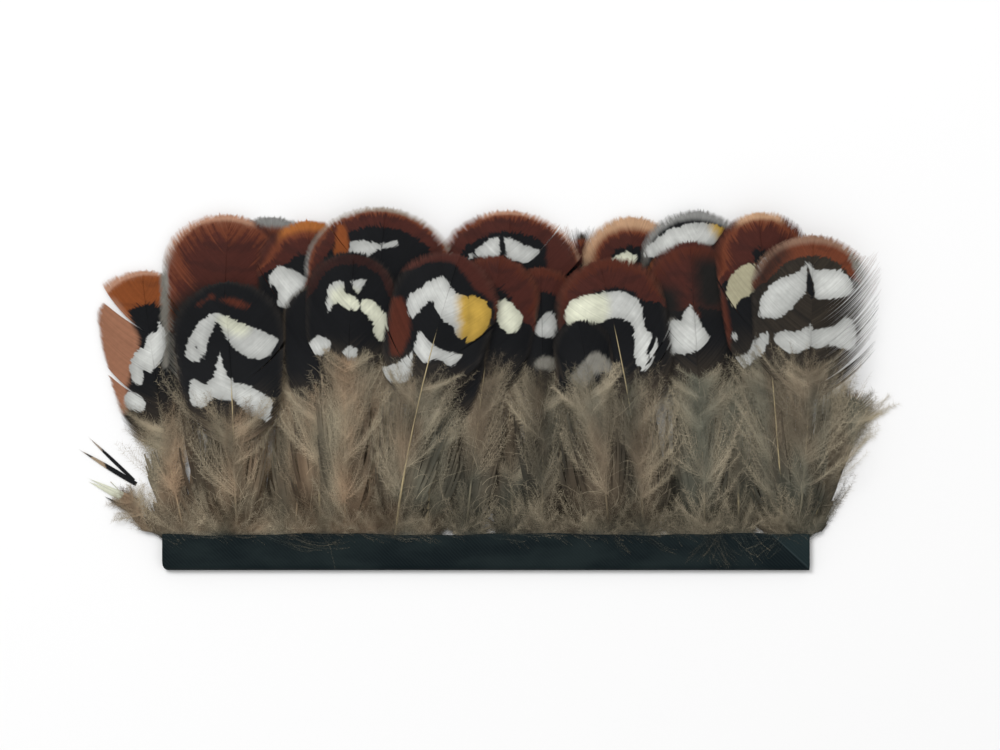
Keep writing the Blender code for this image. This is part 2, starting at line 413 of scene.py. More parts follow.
# Marks on the vanes: colour and outline, where they lie on the trim, mm.
MARKS = {
    1: (
        ("black", (-104, 35), (-100, 33), (-92, 25.9), (-93.7, 20.6), (-102, 26.5)),
        ("cream", (-109, 26), (-106.4, 22.5), (-99, 19), (-98, 22.5)),
        ("black", (-104, 20.8), (-99, 18.7), (-92, 16.5), (-92, 12.5), (-101, 16.5)),
    ),
    2: (
        ("dark", (-85.4, 84), (-82, 84), (-81.5, 56), (-84.6, 55)),
        ("grey", (-87.8, 84.5), (-86.4, 85.5), (-85.6, 72), (-85.6, 55), (-87, 55), (-87.6, 70)),
        ("light_tan", (-106.5, 74.5), (-99.4, 72.9), (-93.4, 62.6), (-94.5, 56.2), (-96.7, 50),
         (-96.7, 42.7), (-103, 42), (-107.5, 59.4)),
        ("black", (-90.2, 69.1), (-87.8, 64.5), (-90.7, 63.7), (-92.6, 62.6)),
        ("white", (-92.3, 60.5), (-91.3, 63.2), (-88.6, 67), (-86.4, 64.8), (-86.7, 58.1),
         (-90.2, 53.5), (-92.3, 54), (-92.6, 50.2), (-95, 50.5), (-96.1, 54.5), (-95, 58.1)),
        ("white", (-97.5, 46.4), (-96.1, 48.3), (-93.4, 47.5), (-91.8, 45.4), (-92.6, 42.9),
         (-96.7, 43.7)),
    ),
    3: (
        ("dark", (-87, 64), (-86, 71), (-79, 75), (-70, 76.5), (-62, 75.5), (-56, 73), (-54.5, 64)),
        ("grey", (-87.5, 82.1), (-85.9, 79.7), (-85.3, 71.6), (-83.7, 64.8), (-81, 54), (-79.4, 44.6),
         (-83.7, 47.2), (-86.4, 56.7), (-88, 67.5)),
    ),
    4: (
        ("brown", (-77.5, 71), (-75.3, 73.2), (-73.4, 74.2), (-72.6, 73.4), (-75.1, 72.4)),
        ("brown", (-71.3, 72.9), (-67.5, 73.2), (-63.2, 71.3), (-65.1, 70.5), (-68.6, 71.6)),
        ("white", (-72.1, 69.7), (-76.4, 67), (-79.4, 62.9), (-80.5, 57.2), (-76.4, 56.4), (-78, 61),
         (-75.6, 57.2), (-74, 63.2), (-72.1, 67.5)),
        ("white", (-72.1, 69.7), (-66.4, 67), (-59.7, 64.3), (-55.9, 61.8), (-58.3, 57.5),
         (-63.7, 57.5), (-67.5, 59.9), (-71.3, 65.9)),
        ("cream", (-69.6, 67.6), (-65, 65.8), (-66, 65), (-69, 66.4)),
        ("white", (-71.3, 59.1), (-70.2, 54), (-67.5, 50.8), (-62.1, 49.4), (-57.2, 45.4),
         (-58.3, 40.5), (-63.2, 42.1), (-67.5, 45.6), (-72.9, 46.7), (-75.6, 43.7), (-79.4, 45.4),
         (-78.6, 51.6), (-75.6, 50.2), (-72.9, 52.1)),
    ),
    6: (
        ("white", (-55.9, 81.8), (-52.7, 81), (-47.8, 78), (-50.2, 74.2), (-52.9, 70.5), (-56.2, 71.8),
         (-55.9, 76.1), (-57.8, 76.4), (-58.6, 79.1)),
        ("black", (-57.8, 75.6), (-56.2, 76.7), (-55.9, 72.9), (-57, 72.1)),
        ("grey", (-48.1, 71.6), (-45.9, 74.5), (-44, 75.1), (-43.2, 71.8), (-45.4, 68.3),
         (-47.5, 69.7)),
    ),
    8: (
        ("white", (-42.7, 72.9), (-42.1, 76.4), (-39.4, 78), (-37.8, 77.5), (-37.8, 74.8), (-34, 72.9),
         (-34, 69.7), (-38.3, 71), (-40, 72.1), (-42.4, 69.4)),
        ("cream", (-40, 73.7), (-37.5, 74.5), (-34.6, 73.2), (-34, 69.7), (-38.3, 71)),
        ("white", (-36.2, 78), (-32.1, 78.3), (-32.9, 76.4), (-34.6, 74.5)),
        ("cream", (-33.5, 72.9), (-30, 72.6), (-26.7, 68.3), (-26.2, 64.3), (-27.3, 61.3),
         (-29.4, 62.9), (-30.5, 67), (-33.5, 70.2)),
        ("white", (-48.1, 60.5), (-45.4, 62.9), (-41.9, 62.4), (-41.3, 60.5), (-44.3, 57.8),
         (-46.7, 58.6)),
        ("white", (-38.6, 58.6), (-36.5, 60.5), (-34.6, 59.1), (-35.1, 55.9), (-36.7, 56.2)),
    ),
    9: (
        ("rust", (-40.2, 93.4), (-37.6, 92.4), (-36.6, 88), (-36.4, 83.4), (-37.6, 80.6),
         (-38.6, 83.4), (-40.4, 84.6)),
        ("white", (-36.7, 88.3), (-33.5, 88.8), (-28.6, 88), (-24, 88.8), (-23.8, 87.2), (-29.2, 86.4),
         (-31.9, 84.2), (-36.5, 84.2)),
    ),
    10: (
        ("maroon", (-10.8, 86), (-4.3, 86.5), (4, 83), (9, 73), (8.5, 63.5), (3.8, 67), (1.6, 72.4),
         (-2.7, 75.6), (-6.5, 80.5)),
        ("white", (-11.6, 78.8), (-7.8, 74.5), (-4.4, 73), (-3.6, 64.6), (-6.6, 62), (-9.7, 66.4),
         (-11.3, 67), (-13.5, 69.9), (-14, 72.9), (-16.7, 70.7), (-20, 67.8), (-21.1, 72.4),
         (-20.5, 74.2), (-15.7, 77.2)),
        ("yellow", (-5.2, 72.6), (-3.4, 74), (-0.4, 72.6), (1.4, 69.9), (1.1, 65.9), (-2.2, 62.4),
         (-5.4, 61.2), (-5, 65.2)),
        ("white", (-17.8, 64.3), (-14.6, 60.8), (-9.7, 58.9), (-6.2, 58.1), (-9.2, 54.8), (-13, 57),
         (-16.2, 55.9), (-19.2, 58.9)),
        ("white", (-27.8, 54.5), (-22.7, 56.4), (-19.4, 59.4), (-20.2, 51.8), (-23, 50.2), (-27, 51.8)),
        ("brown", (-25.7, 72.9), (-22.7, 73.4), (-21.1, 70.2), (-20.2, 64.8), (-21.9, 58.9),
         (-25.4, 57.8), (-25.9, 66.2)),
    ),
    12: (
        ("cream", (3, 71.9), (5.7, 72.9), (8.2, 70.8), (9.9, 68.3), (8.8, 64.3), (5.7, 64.1),
         (3.1, 66.4)),
        ("rust", (0.5, 72.1), (3.2, 72.1), (3.2, 68.6), (1.6, 67)),
    ),
    13: (
        ("maroon", (16.8, 90), (22, 88), (25.6, 80), (25.6, 70), (17.5, 70), (16.4, 80)),
        ("maroon", (-8, 87), (-11.5, 84), (-13, 76), (-9, 76)),
        ("white", (-6.5, 83.4), (-2.2, 86.9), (2.4, 89.9), (3.8, 89.6), (3.2, 84), (-2.2, 84.2)),
        ("white", (4.9, 89.9), (9.7, 88), (14.6, 85.9), (11.6, 83.2), (6.2, 83.7)),
    ),
    14: (
        ("white", (13, 65.3), (14.9, 68), (18.1, 69.9), (19.4, 63.7), (16.7, 62.6), (13.8, 63.5)),
        ("grey", (13, 55.9), (15.7, 57.8), (20.2, 56.7), (21.3, 55.1), (18.9, 54), (14, 54.3)),
    ),
    17: (
        ("grey", (22.7, 51.8), (27, 57.2), (29.7, 58.9), (32.4, 57.2), (34, 53.5), (30.2, 53.2),
         (26.5, 49.4)),
    ),
    18: (
        ("cream", (34, 84), (37.3, 85.9), (41, 84.5), (38.9, 81.5), (35.1, 82.9)),
    ),
    19: (
        ("dark", (12, 75), (16.6, 76), (19.6, 71), (18.5, 63), (12, 62)),
        ("black", (44.6, 63.4), (45.4, 63.2), (43.7, 55.5), (42.9, 56)),
        ("black", (46.6, 62), (47.2, 61.8), (45.5, 55.8), (44.9, 56.2)),
        ("white", (21.1, 69.1), (23.2, 72.9), (28.1, 74.2), (36.2, 75.1), (40.5, 73.4), (41.9, 69.7),
         (42.7, 65.3), (46.4, 61.3), (45.6, 57.8), (42.4, 53.5), (40, 57.2), (39.4, 66.4), (34, 67.8),
         (28.6, 65.9), (24.6, 64.5), (21.9, 66.4)),
        ("cream", (21.3, 69.1), (23.2, 72.4), (28.1, 73.4), (30.8, 72.9), (30.8, 67.5), (24.8, 64.8),
         (22.1, 66.4)),
    ),
    20: (
        ("white", (42.4, 84.5), (44, 87.8), (46.8, 90.1), (50.6, 92.2), (55.7, 93.6), (61.3, 93.4),
         (64.1, 92), (61.3, 88), (55.7, 86), (50.1, 85)),
        ("yellow", (62.6, 93.2), (64.3, 92.2), (63.6, 91.4)),
    ),
    21: (
        ("dark", (56.5, 83.5), (63.4, 84), (66, 78), (64, 70), (57.6, 70.5), (56, 76)),
        ("dark", (43, 77), (51.6, 75.5), (52.4, 68), (46, 62), (43, 68)),
        ("rust", (41.6, 83.2), (43.6, 85.6), (45.6, 85.6), (45, 82.6), (42.8, 79.6)),
        ("white", (47.2, 63.5), (49.1, 67), (52.4, 67.5), (54.8, 71.6), (57.8, 66.4), (59.9, 62.6),
         (56.2, 58.9), (49.1, 58.3)),
        ("grey", (48.9, 67), (51, 67.2), (50.5, 58.3), (48.6, 58.3)),
        ("brown", (55, 72.1), (56.6, 71.4), (57.4, 67.9), (56.4, 68.6)),
    ),
    22: (
        ("white", (62.6, 75.6), (61.8, 64.8), (62.9, 61), (61, 62.6), (59.4, 67), (60.5, 71.8)),
    ),
    23: (
        ("buff", (64.3, 75.1), (65.9, 79.4), (69.4, 82.4), (71.8, 82.4), (73.4, 78.8), (71.8, 74.8),
         (68.6, 73.2), (66.7, 70.5)),
        ("white", (73.2, 82.1), (74.5, 84.2), (76.4, 83.4), (74.5, 79.7)),
        ("brown", (63.2, 76), (64.4, 72.4), (65.6, 65.9), (65.2, 58.9), (63.2, 58.6), (62.6, 64.8),
         (62.4, 71.6)),
        ("white", (73.4, 65.3), (75.9, 63.2), (74, 58.9), (69.1, 54.3), (66.7, 57.2), (70.2, 58.3),
         (71.8, 62.1)),
        ("white", (65.9, 62.6), (67, 64.8), (67.5, 62.1)),
    ),
    24: (
        ("dark", (71, 70), (72.4, 78.5), (76, 84.4), (79.6, 86.6), (81, 84.6), (77.6, 80.6),
         (73.6, 74), (73, 66)),
        ("grey", (96.5, 86.4), (100.4, 83), (103.4, 76), (103.5, 64), (101, 60), (100.6, 68),
         (100.8, 76), (98.5, 82)),
        ("white", (73.2, 68.6), (74, 73.7), (78, 78), (84, 80.5), (85.9, 82.9), (86.1, 75.6),
         (84.2, 73.2), (79.4, 68.3), (75.1, 68)),
        ("white", (86.1, 82.9), (88.3, 81), (95, 80.7), (97.7, 77.8), (98.8, 74.8), (95.6, 73.4),
         (88.3, 73.4), (87.8, 77.2)),
        ("black", (86.4, 80.5), (87.8, 76.7), (87.8, 72.4), (85.9, 75.6)),
        ("white", (77.2, 61.8), (78.8, 64.3), (83.7, 64.3), (87.2, 66.2), (87.2, 60.5), (81.8, 58.3)),
        ("white", (73.6, 63.6), (75.6, 64.4), (75.9, 62), (74, 58), (70.4, 55), (68.2, 56.4),
         (71.2, 59.6)),
        ("white", (87.8, 64.3), (93.4, 65.6), (96.7, 68.6), (98.6, 67), (99.4, 61.3), (97.7, 58.9),
         (92.9, 60.8), (89.6, 59.4), (87.8, 60.5)),
    ),
}

# The marks as the material reads them, three at a time, and how softly the soft ones end, mm.
MARK_GROUPS = {
    "pale": ("white", "cream", "yellow"),
    "warm": ("rust", "grey", "black"),
    "side_marks": ("brown", "orange", "dark"),
    "deep": ("maroon", "light_tan", "buff"),
}
SOFT_MARKS = {
    "maroon": 0.8,
    "light_tan": 1.0,
    "brown": 0.9,
    "rust": 0.6,
    "orange": 1.2,
    "dark": 3.2,
    "grey": 0.8,
}
MARK_EDGE = 0.25
# Further from a mark or from the vane's edge than anything reads, mm.
FAR = 40.0


def smooth(low, high, value):
    share = np.clip((value - low) / (high - low), 0.0, 1.0)
    return share * share * (3.0 - 2.0 * share)


def linear(name):
    """A named colour in linear light."""
    colour = COLOURS[name]
    return np.array([c / 12.92 if c <= 0.04045 else ((c + 0.055) / 1.055) ** 2.4 for c in colour])


def shares_of(steps):
    """Shares from 0 to 1 along a strand, as one row."""
    return np.linspace(0.0, 1.0, steps + 1)[None, :]


def bowed(q, pull):
    """Shares from 0 to 1 that are pulled towards a bend on the way."""
    return 2.0 * q * (1.0 - q) * pull + q * q


class Feather:
    """One feather's centre line and outline, as drawn, in mm."""

    def __init__(self, number):
        self.number = number
        row = FEATHERS[number]
        self.root_x, self.bend_x, self.tip_x, self.tip_y, self.widest, self.layer = row
        self.down_at = BANDS[number][5]
        shares = np.linspace(0.0, 1.0, 200)
        points, _ = self.line(shares)
        steps = np.hypot(*np.diff(points, axis=0).T)
        self.length = steps.sum()
        self.first = float(np.interp(NECK_Y, points[:, 1], shares))
        short = WORN_SHAFT_SHORT if number in LOOSE_TIPS else SHAFT_SHORT
        self.last = 1.0 - short * self.widest / self.length
        self.round_start = 1.0 - ROUND_SHARE * self.widest / self.length
        self.rng = np.random.default_rng(number * 97 + 5)

    def line(self, along):
        """Points on the centre line, and the unit vectors to its right."""
        along = np.asarray(along)[..., None]
        root = np.array((self.root_x, ROOT_Y))
        bend = np.array((self.bend_x, (ROOT_Y + self.tip_y) / 2.0))
        tip = np.array((self.tip_x, self.tip_y))
        back = 1.0 - along
        point = back * back * root + 2.0 * back * along * bend + along * along * tip
        run = back * (bend - root) + along * (tip - bend)
        run = run / np.linalg.norm(run, axis=-1, keepdims=True)
        return point, np.stack((run[..., 1], -run[..., 0]), axis=-1)

    def half_width(self, along):
        y = self.line(along)[0][..., 1]
        widest_y = self.line(self.round_start)[0][..., 1]
        down = DOWN_SHARE * self.widest
        neck_width = min(NECK_HALF_WIDTH, down)
        neck = neck_width + (down - neck_width) * smooth(NECK_Y, DOWN_FULL_Y, y)
        return neck + (self.widest - down) * smooth(DOWN_FULL_Y + 3.0, widest_y, y)

    def barb_ends(self, share):
        """Where barbs at these shares of the shaft start, and the side and share they end at."""
        start = self.first + (self.last - self.first) * share
        low_end = self.first + (self.round_start - self.first) * (0.03 + 0.97 * share / WIDEST_BARB)
        low_side = self.half_width(low_end)
        turn = np.clip((share - WIDEST_BARB) / (1.0 - WIDEST_BARB), 0.0, 1.0) * math.pi / 2.0
        high_end = self.round_start + (1.0 - self.round_start) * np.sin(turn)
        high_side = self.widest * np.cos(turn)
        low = share < WIDEST_BARB
        return start, np.where(low, low_side, high_side), np.where(low, low_end, high_end)

    def local(self, x, y):
        """The side and share of the length at places on the drawing."""
        shares = np.linspace(-0.02, 1.0, 120)
        line, right = self.line(shares)
        away = np.stack((x, y), axis=-1)[..., None, :] - line
        nearest = (away * away).sum(-1).argmin(axis=-1)
        away = np.take_along_axis(away, nearest[..., None, None], axis=-2)[..., 0, :]
        side = (away * right[nearest]).sum(-1)
        ahead = away[..., 1] * right[nearest][..., 0] - away[..., 0] * right[nearest][..., 1]
        return side, shares[nearest] + ahead / self.length

    def flat(self, side, along):
        point, right = self.line(along)
        return point + right * np.asarray(side)[..., None]

    def height(self, x, y, side):
        loft = smooth(RISE_START, LOFT_FULL_Y, y) * (1.0 - smooth(LOFT_FALL_Y, LOFT_END_Y, y))
        high = LOWEST_LAYER + (LAYER_STEP + DOWN_LOFT * loft) * self.layer
        droop = CAMBER * np.minimum(1.0, np.abs(side) / self.widest) ** 2
        return QUILL_HEIGHT + (high - QUILL_HEIGHT) * smooth(RISE_START, RISE_END, y) - droop


def outline_distance(points, outline):
    """Distance from points to a closed outline, mm, negative inside it."""
    start = outline
    end = np.roll(outline, -1, axis=0)
    edge = end - start
    away = points[:, None, :] - start[None]
    length = np.maximum((edge * edge).sum(-1), 1e-9)
    share = np.clip((away * edge).sum(-1) / length, 0.0, 1.0)
    near = away - share[..., None] * edge
    distance = np.sqrt((near * near).sum(-1)).min(axis=1)
    x, y = points[:, 0:1], points[:, 1:2]
    crosses = (start[:, 1] > y) != (end[:, 1] > y)
    rise = np.where(edge[:, 1] == 0.0, 1e-9, edge[:, 1])
    left = x < start[:, 0] + (y - start[:, 1]) / rise * edge[:, 0]
    inside = (crosses & left).sum(axis=1) % 2 == 1
    return np.where(inside, -distance, distance)


def rounded_outline(points, steps=4, pull=0.3):
    """A closed curve through the points, as a close run of them."""
    p = np.array(points, float)
    made = []
    for i in range(len(p)):
        before, here, there, after = p[i - 1], p[i], p[(i + 1) % len(p)], p[(i + 2) % len(p)]
        leave = (there - before) * pull
        arrive = (after - here) * pull
        for step in range(steps):
            t = step / steps
            made.append(
                here * (2 * t**3 - 3 * t**2 + 1)
                + leave * (t**3 - 2 * t**2 + t)
                + there * (3 * t**2 - 2 * t**3)
                + arrive * (t**3 - t**2)
            )
    return np.array(made)


def back_over(y):
    """How much higher strands may lie where they cross back over the binding."""
    return TAPE_THICK * (1.0 - smooth(RISE_START, RISE_END, y))


class Strands:
    """Gathers one feather's faces and what its material reads at each point."""

    def __init__(self, feather):
        self.feather = feather
        self.points = []
        self.values = []
        self.quads = []
        self.triangles = []
        self.count = 0
        self.over_binding = False
        self.edge = self.vane_outline()

    def vane_outline(self):
        shares = np.linspace(0.12, 1.0, 60)
        _, side, end = self.feather.barb_ends(shares)
        right = self.feather.flat(side, end)
        left = self.feather.flat(-side, end)
        return np.concatenate((right, left[::-1]))

    def add(self, side, along, lift, tone=0.0, jag=0.0, reach=0.0, quill=0.0, plume=0.0):
        """Points of the vane, from side (mm) and share of the length; returns their numbers."""
        shape = side.shape
        side, along = side.ravel(), along.ravel()
        flat = self.feather.flat(side, along)
        x, y = flat[:, 0], flat[:, 1]
        z = self.feather.height(x, y, side) + np.broadcast_to(lift, shape).ravel()
        if not self.over_binding:
            leaving = smooth(TAPE_DEPTH - 0.5, TAPE_DEPTH + 4.0, y)
            within = TAPE_HALF_LENGTH - END_MARGIN + FAR * leaving
            x = np.clip(x, -within, within)
        highest = self.feather.height(x, y, side) + LIFT_LIMIT + back_over(y)
        z = np.clip(z, FLOOR_GAP, highest)
        if not self.over_binding:
            mouth = TAPE_DEPTH + MOUTH_DEPTH
            inside = PLY + HEM + CLOTH_GAP
            room = TAPE_THICK - PLY - HEM - CLOTH_GAP + LIFT_LIMIT * smooth(TAPE_DEPTH, mouth, y)
            z = np.where(y < mouth, np.clip(z, inside, np.maximum(room, 0.0)), z)
        numbers = np.arange(self.count, self.count + x.size).reshape(shape)
        self.count += x.size
        self.points.append(np.stack((x, y, z), axis=1))
        given = {"tone": tone, "jag": jag, "reach": reach, "quill": quill, "plume": plume}
        filled = {key: np.broadcast_to(value, shape).ravel() for key, value in given.items()}
        filled["side"], filled["along"] = side, along
        self.values.append(filled)
        return numbers

    def ribbon(self, left, right):
        """Faces between two sets of numbered points, one row for each strand."""
        faces = np.stack((left[:, :-1], right[:, :-1], right[:, 1:], left[:, 1:]), axis=-1)
        self.quads.append(faces.reshape(-1, 4))


def frayed(f, side, shares):
    """How far each barb's end reaches past the vane, mm, and how loose it is."""
    count = len(shares)
    fringe = f.rng.uniform(0.0, 1.0, count) ** 2 * FRINGE
    loose = np.zeros(count)
    for fray_side, low, high, reach in FRAYS.get(f.number, ()):
        if fray_side == side:
            inside = smooth(low - 0.02, low + 0.03, shares)
            inside = inside * (1.0 - smooth(high - 0.03, high + 0.02, shares))
            fringe = fringe + inside * reach * f.rng.uniform(0.3, 1.0, count)
            loose = np.maximum(loose, inside)
    return fringe, loose


def vane_barbs(strands, side):
    """The barbs that make one side of the vane, each a narrow tilted ribbon."""
    f = strands.feather
    rng = f.rng
    span = (f.last - f.first) * f.length
    top = 1.0 - (f.down_at + 3.5) / f.length
    low = max(0.0, (top - f.first) / (f.last - f.first) - 0.06)
    count = int((1.0 - low) * span / BARB_SPACING)
    shares = low + (1.0 - low) * (np.arange(count) + 0.5) / count
    start, end_side, end = f.barb_ends(shares)
    fringe, loose = frayed(f, side, shares)
    near_down = smooth(f.down_at - 9.0, f.down_at + 1.0, (1.0 - end) * f.length)
    loose = np.maximum(loose, 0.75 * near_down)
    barb_length = np.hypot(end_side, (end - start) * f.length)
    q = shares_of(BARB_STEPS) * (1.0 + fringe / barb_length)[:, None]
    reach = side * end_side[:, None] * bowed(q, BARB_BEND_OUT)
    rise = start[:, None] * f.length + ((end - start) * f.length)[:, None] * bowed(q, BARB_BEND_UP)
    place = np.stack((reach, rise), axis=-1)
    gap = np.gradient(place, axis=0) * 0.5
    wobble = rng.normal(0.0, 1.0, count)
    clump = np.convolve(rng.normal(0.0, 1.0, count + 12), np.ones(5) / 5.0, "same")[6:-6]
    opened = 0.16 * wobble * (0.15 + 1.5 * loose) + 0.4 * clump * (0.08 + 1.3 * loose)
    for split_side, split_share, width in SPLITS.get(f.number, ()):
        if split_side == side:
            away = (shares - split_share) * span
            opened = opened + np.sign(away) * 0.5 * width * np.exp(-np.abs(away) / (1.2 * width))
    shape = q * q
    place = place + opened[:, None, None] * shape[..., None] * np.array((0.0, 1.0))
    parted = loose[:, None]
    share = q / q[:, -1:]
    start_taper = 0.9 - 0.5 * parted + rng.uniform(-0.06, 0.04, count)[:, None]
    thin = 1.0 - (0.88 - 0.06 * parted) * smooth(start_taper, 1.0, share)
    thin = thin * (1.12 - 0.35 * parted * q)
    lift = rng.normal(0.0, 0.02, count)[:, None]
    lift = lift + 0.35 * (loose * rng.normal(0.0, 1.0, count))[:, None] * shape
    lift = lift + 0.12 * np.sin(reach * 0.5 + rise * 0.21 + f.layer)
    tone = np.clip(rng.normal(0.0, 0.45, count) + 0.5 * clump, -1.2, 1.2)[:, None]
    jag = np.clip(rng.normal(0.0, 0.5, count) + 0.9 * clump, -1.6, 1.6)[:, None]
    edges = []
    for way in (-1.0, 1.0):
        edge = place + way * gap * thin[..., None]
        edges.append(strands.add(
            edge[..., 0], edge[..., 1] / f.length, lift + way * BARB_TILT,
            tone=tone, jag=jag, reach=share))
    strands.ribbon(*edges)


def clumped(rng, count, run):
    """Random values that drift slowly from one strand to the next, about -1 to 1."""
    loose = rng.normal(0.0, 1.0, count + run)
    return np.convolve(loose, np.hanning(run + 2)[1:-1], "same")[:count] / math.sqrt(run * 0.375)


def plume_paths(f, side, count):
    """Where the down's plumes run: (side, along in mm) for each step."""
    rng = f.rng
    here = (f.number, side)
    top = (f.length - f.down_at + 1.0) / f.length
    share = np.sort(rng.uniform(0.0, 1.0, count)) ** 1.05
    start = f.first + (top - f.first) * share - 1.0 / f.length
    together = clumped(rng, count, 13)
    wide = np.clip(0.5 + 0.26 * together + rng.normal(0.0, 0.16, count), 0.08, 1.12)
    width = f.half_width(start + 9.0 / f.length) * wide
    high = 0.6 + 0.6 * smooth(0.0, 0.5, share) - 0.26 * together + rng.normal(0.0, 0.2, count)
    rise = PLUME_RISE * np.clip(high, 0.3, 1.7)
    basal = np.arange(count) < BASAL_PLUMES
    start = np.where(basal, rng.uniform(6.0, 9.5, count) / f.length, start)
    rise = np.where(basal, rng.uniform(0.6, 19.0 if here in BASAL_FLARE else BASAL_RISE, count), rise)
    spread = 0.0 if here in BASAL_REACH else 3.4
    shift = np.where(basal, rng.uniform(-spread, spread, count), 0.0)[:, None]
    flare = (rise / BASAL_RISE) ** BASAL_FLARE.get(here, 0.0)
    basal_width = rng.uniform(1.5, BASAL_REACH.get(here, 7.0), count) * flare
    width = np.where(basal, basal_width, width * DOWN_REACH.get(here, 1.0))
    overlap = rng.uniform(-5.0, DOWN_OVERLAP.get(f.number, 8.5), count)
    room = f.length - f.down_at + overlap - start * f.length
    rise = np.minimum(rise, np.maximum(room, 4.0))
    width = np.where(basal, width, np.minimum(width, 1.2 + 0.95 * rise))
    q = shares_of(PLUME_STEPS)
    phase = rng.uniform(0.0, 6.28, count)[:, None]
    wave = np.sin(q * rng.uniform(3.0, 8.0, count)[:, None] + phase) * 0.5 * q
    wave = wave + np.sin(q * 15.0 + phase * 2.0) * 0.14 * q + 0.9 * together[:, None] * q * q
    over = SHAFT_COVER.get(f.number, 1.0) * rng.uniform(0.0, 1.0, count)[:, None] * (1.0 - q) ** 2
    reach = side * (np.maximum(width[:, None] * bowed(q, 0.7) + wave, -2.0) - over + shift)
    along = start[:, None] * f.length + rise[:, None] * bowed(q, 0.36)
    return together, q, reach, along


def down_plumes(strands, side):
    """The downy barbs of one side: a wavy thread each, with barbules down both edges."""
    f = strands.feather
    rng = f.rng
    span = f.length - f.down_at + 1.0 - f.first * f.length
    count = BASAL_PLUMES + int(span / PLUME_SPACING * DOWN_DENSITY.get(f.number, 1.0))
    together, q, reach, along = plume_paths(f, side, count)
    bow = (0.5 * together + rng.normal(0.25, PLUME_LIFT, count))[:, None]
    lift = np.maximum(bow, -0.35 - 0.9 * f.layer) * np.sin(q * 2.2)
    # Plumes of a clump share a tone: partly the down's own tone and partly painted shade in the gaps
    # and painted light on the clumps that lie higher.
    tone = np.clip(0.95 * together + rng.normal(0.0, 0.2, count), -1.6, 1.6)[:, None]
    jag = rng.normal(0.0, 0.5, count)[:, None]
    cover = 0.5 * min(1.0, SHAFT_COVER.get(f.number, 1.0) * 2.0) * (1.0 - q) ** 3
    add_plumes(strands, q, reach, along, lift + cover, tone, jag)


def add_threads(strands, q, reach, along, lift, tone, jag, width):
    """Flat strands without barbules; returns their directions and step lengths."""
    run = np.stack((np.gradient(reach, axis=1), np.gradient(along, axis=1)), axis=-1)
    step_length = np.linalg.norm(run, axis=-1, keepdims=True)
    run = run / step_length
    across = np.stack((run[..., 1], -run[..., 0]), axis=-1)
    thread = (width * (1.0 - 0.75 * q))[..., None] * across * 0.5
    length = strands.feather.length
    edges = [
        strands.add(
            reach + way * thread[..., 0], (along + way * thread[..., 1]) / length, lift,
            tone=tone, jag=jag, reach=q, plume=1.0)
        for way in (-1.0, 1.0)
    ]
    strands.ribbon(*edges)
    return run, step_length


def under_down(strands, side):
    """Broad strands below the plumes, which close the down where it is thin; they are made dark as
    painted shade of the down's depths.
    """
    f = strands.feather
    rng = f.rng
    count = UNDER_STRANDS
    open_side = (f.number, side) in BASAL_REACH
    least = 0.6 * BASAL_REACH[f.number, side] if open_side else 8.0
    high = f.length - f.down_at - 8.0
    q = shares_of(PLUME_STEPS)
    rise = 3.0 + max(3.0, high - 6.0) * rng.uniform(0.0, 1.0, count)
    spread = f.half_width((8.0 + rise) / f.length) * (0.55 if open_side else 0.85)
    width = np.maximum(spread, least) * rng.uniform(-0.1, 1.0, count)
    reach = side * width[:, None] * bowed(q, 0.8)
    along = 7.5 + rise[:, None] * q
    lift = -rng.uniform(0.3, 1.1, count)[:, None] * (0.4 + q) * min(1.0, 0.4 + 0.3 * f.layer)
    # Painted shade: these strands get a low tone to stand for the shade deep in the down.
    tone = rng.uniform(-1.8, -0.9, count)[:, None]
    add_threads(strands, q, reach, along, lift, tone, tone * 0.2, UNDER_WIDTH)


def stray_hairs(strands, side):
    """Single pale hairs that lie loose on the down; their paleness is partly their own colour and
    partly painted highlight.
    """
    f = strands.feather
    rng = f.rng
    count = STRAY_HAIRS
    q = shares_of(PLUME_STEPS)
    start = rng.uniform(10.0, f.length - f.down_at - 4.0, count)[:, None]
    base = rng.uniform(-0.2, 0.6, count)[:, None] * f.half_width(start / f.length)
    turn = rng.uniform(-0.5, 1.3, count)[:, None]
    bend = rng.normal(0.0, 0.9, count)[:, None]
    long = rng.uniform(4.0, 10.0, count)[:, None]
    reach = side * (base + long * np.sin(turn + 0.5 * bend * q) * q)
    along = start + long * np.cos(turn + 0.5 * bend * q) * q
    lift = rng.uniform(0.4, LIFT_LIMIT, count)[:, None] * np.sin(0.5 + 2.0 * q)
    # The raised tone is partly the hairs' own colour and partly painted highlight on hairs that lie on
    # top.
    tone = rng.uniform(1.0, 3.2, count)[:, None]
    add_threads(strands, q, reach, along, lift, tone, 0.0, HAIR_WIDTH)


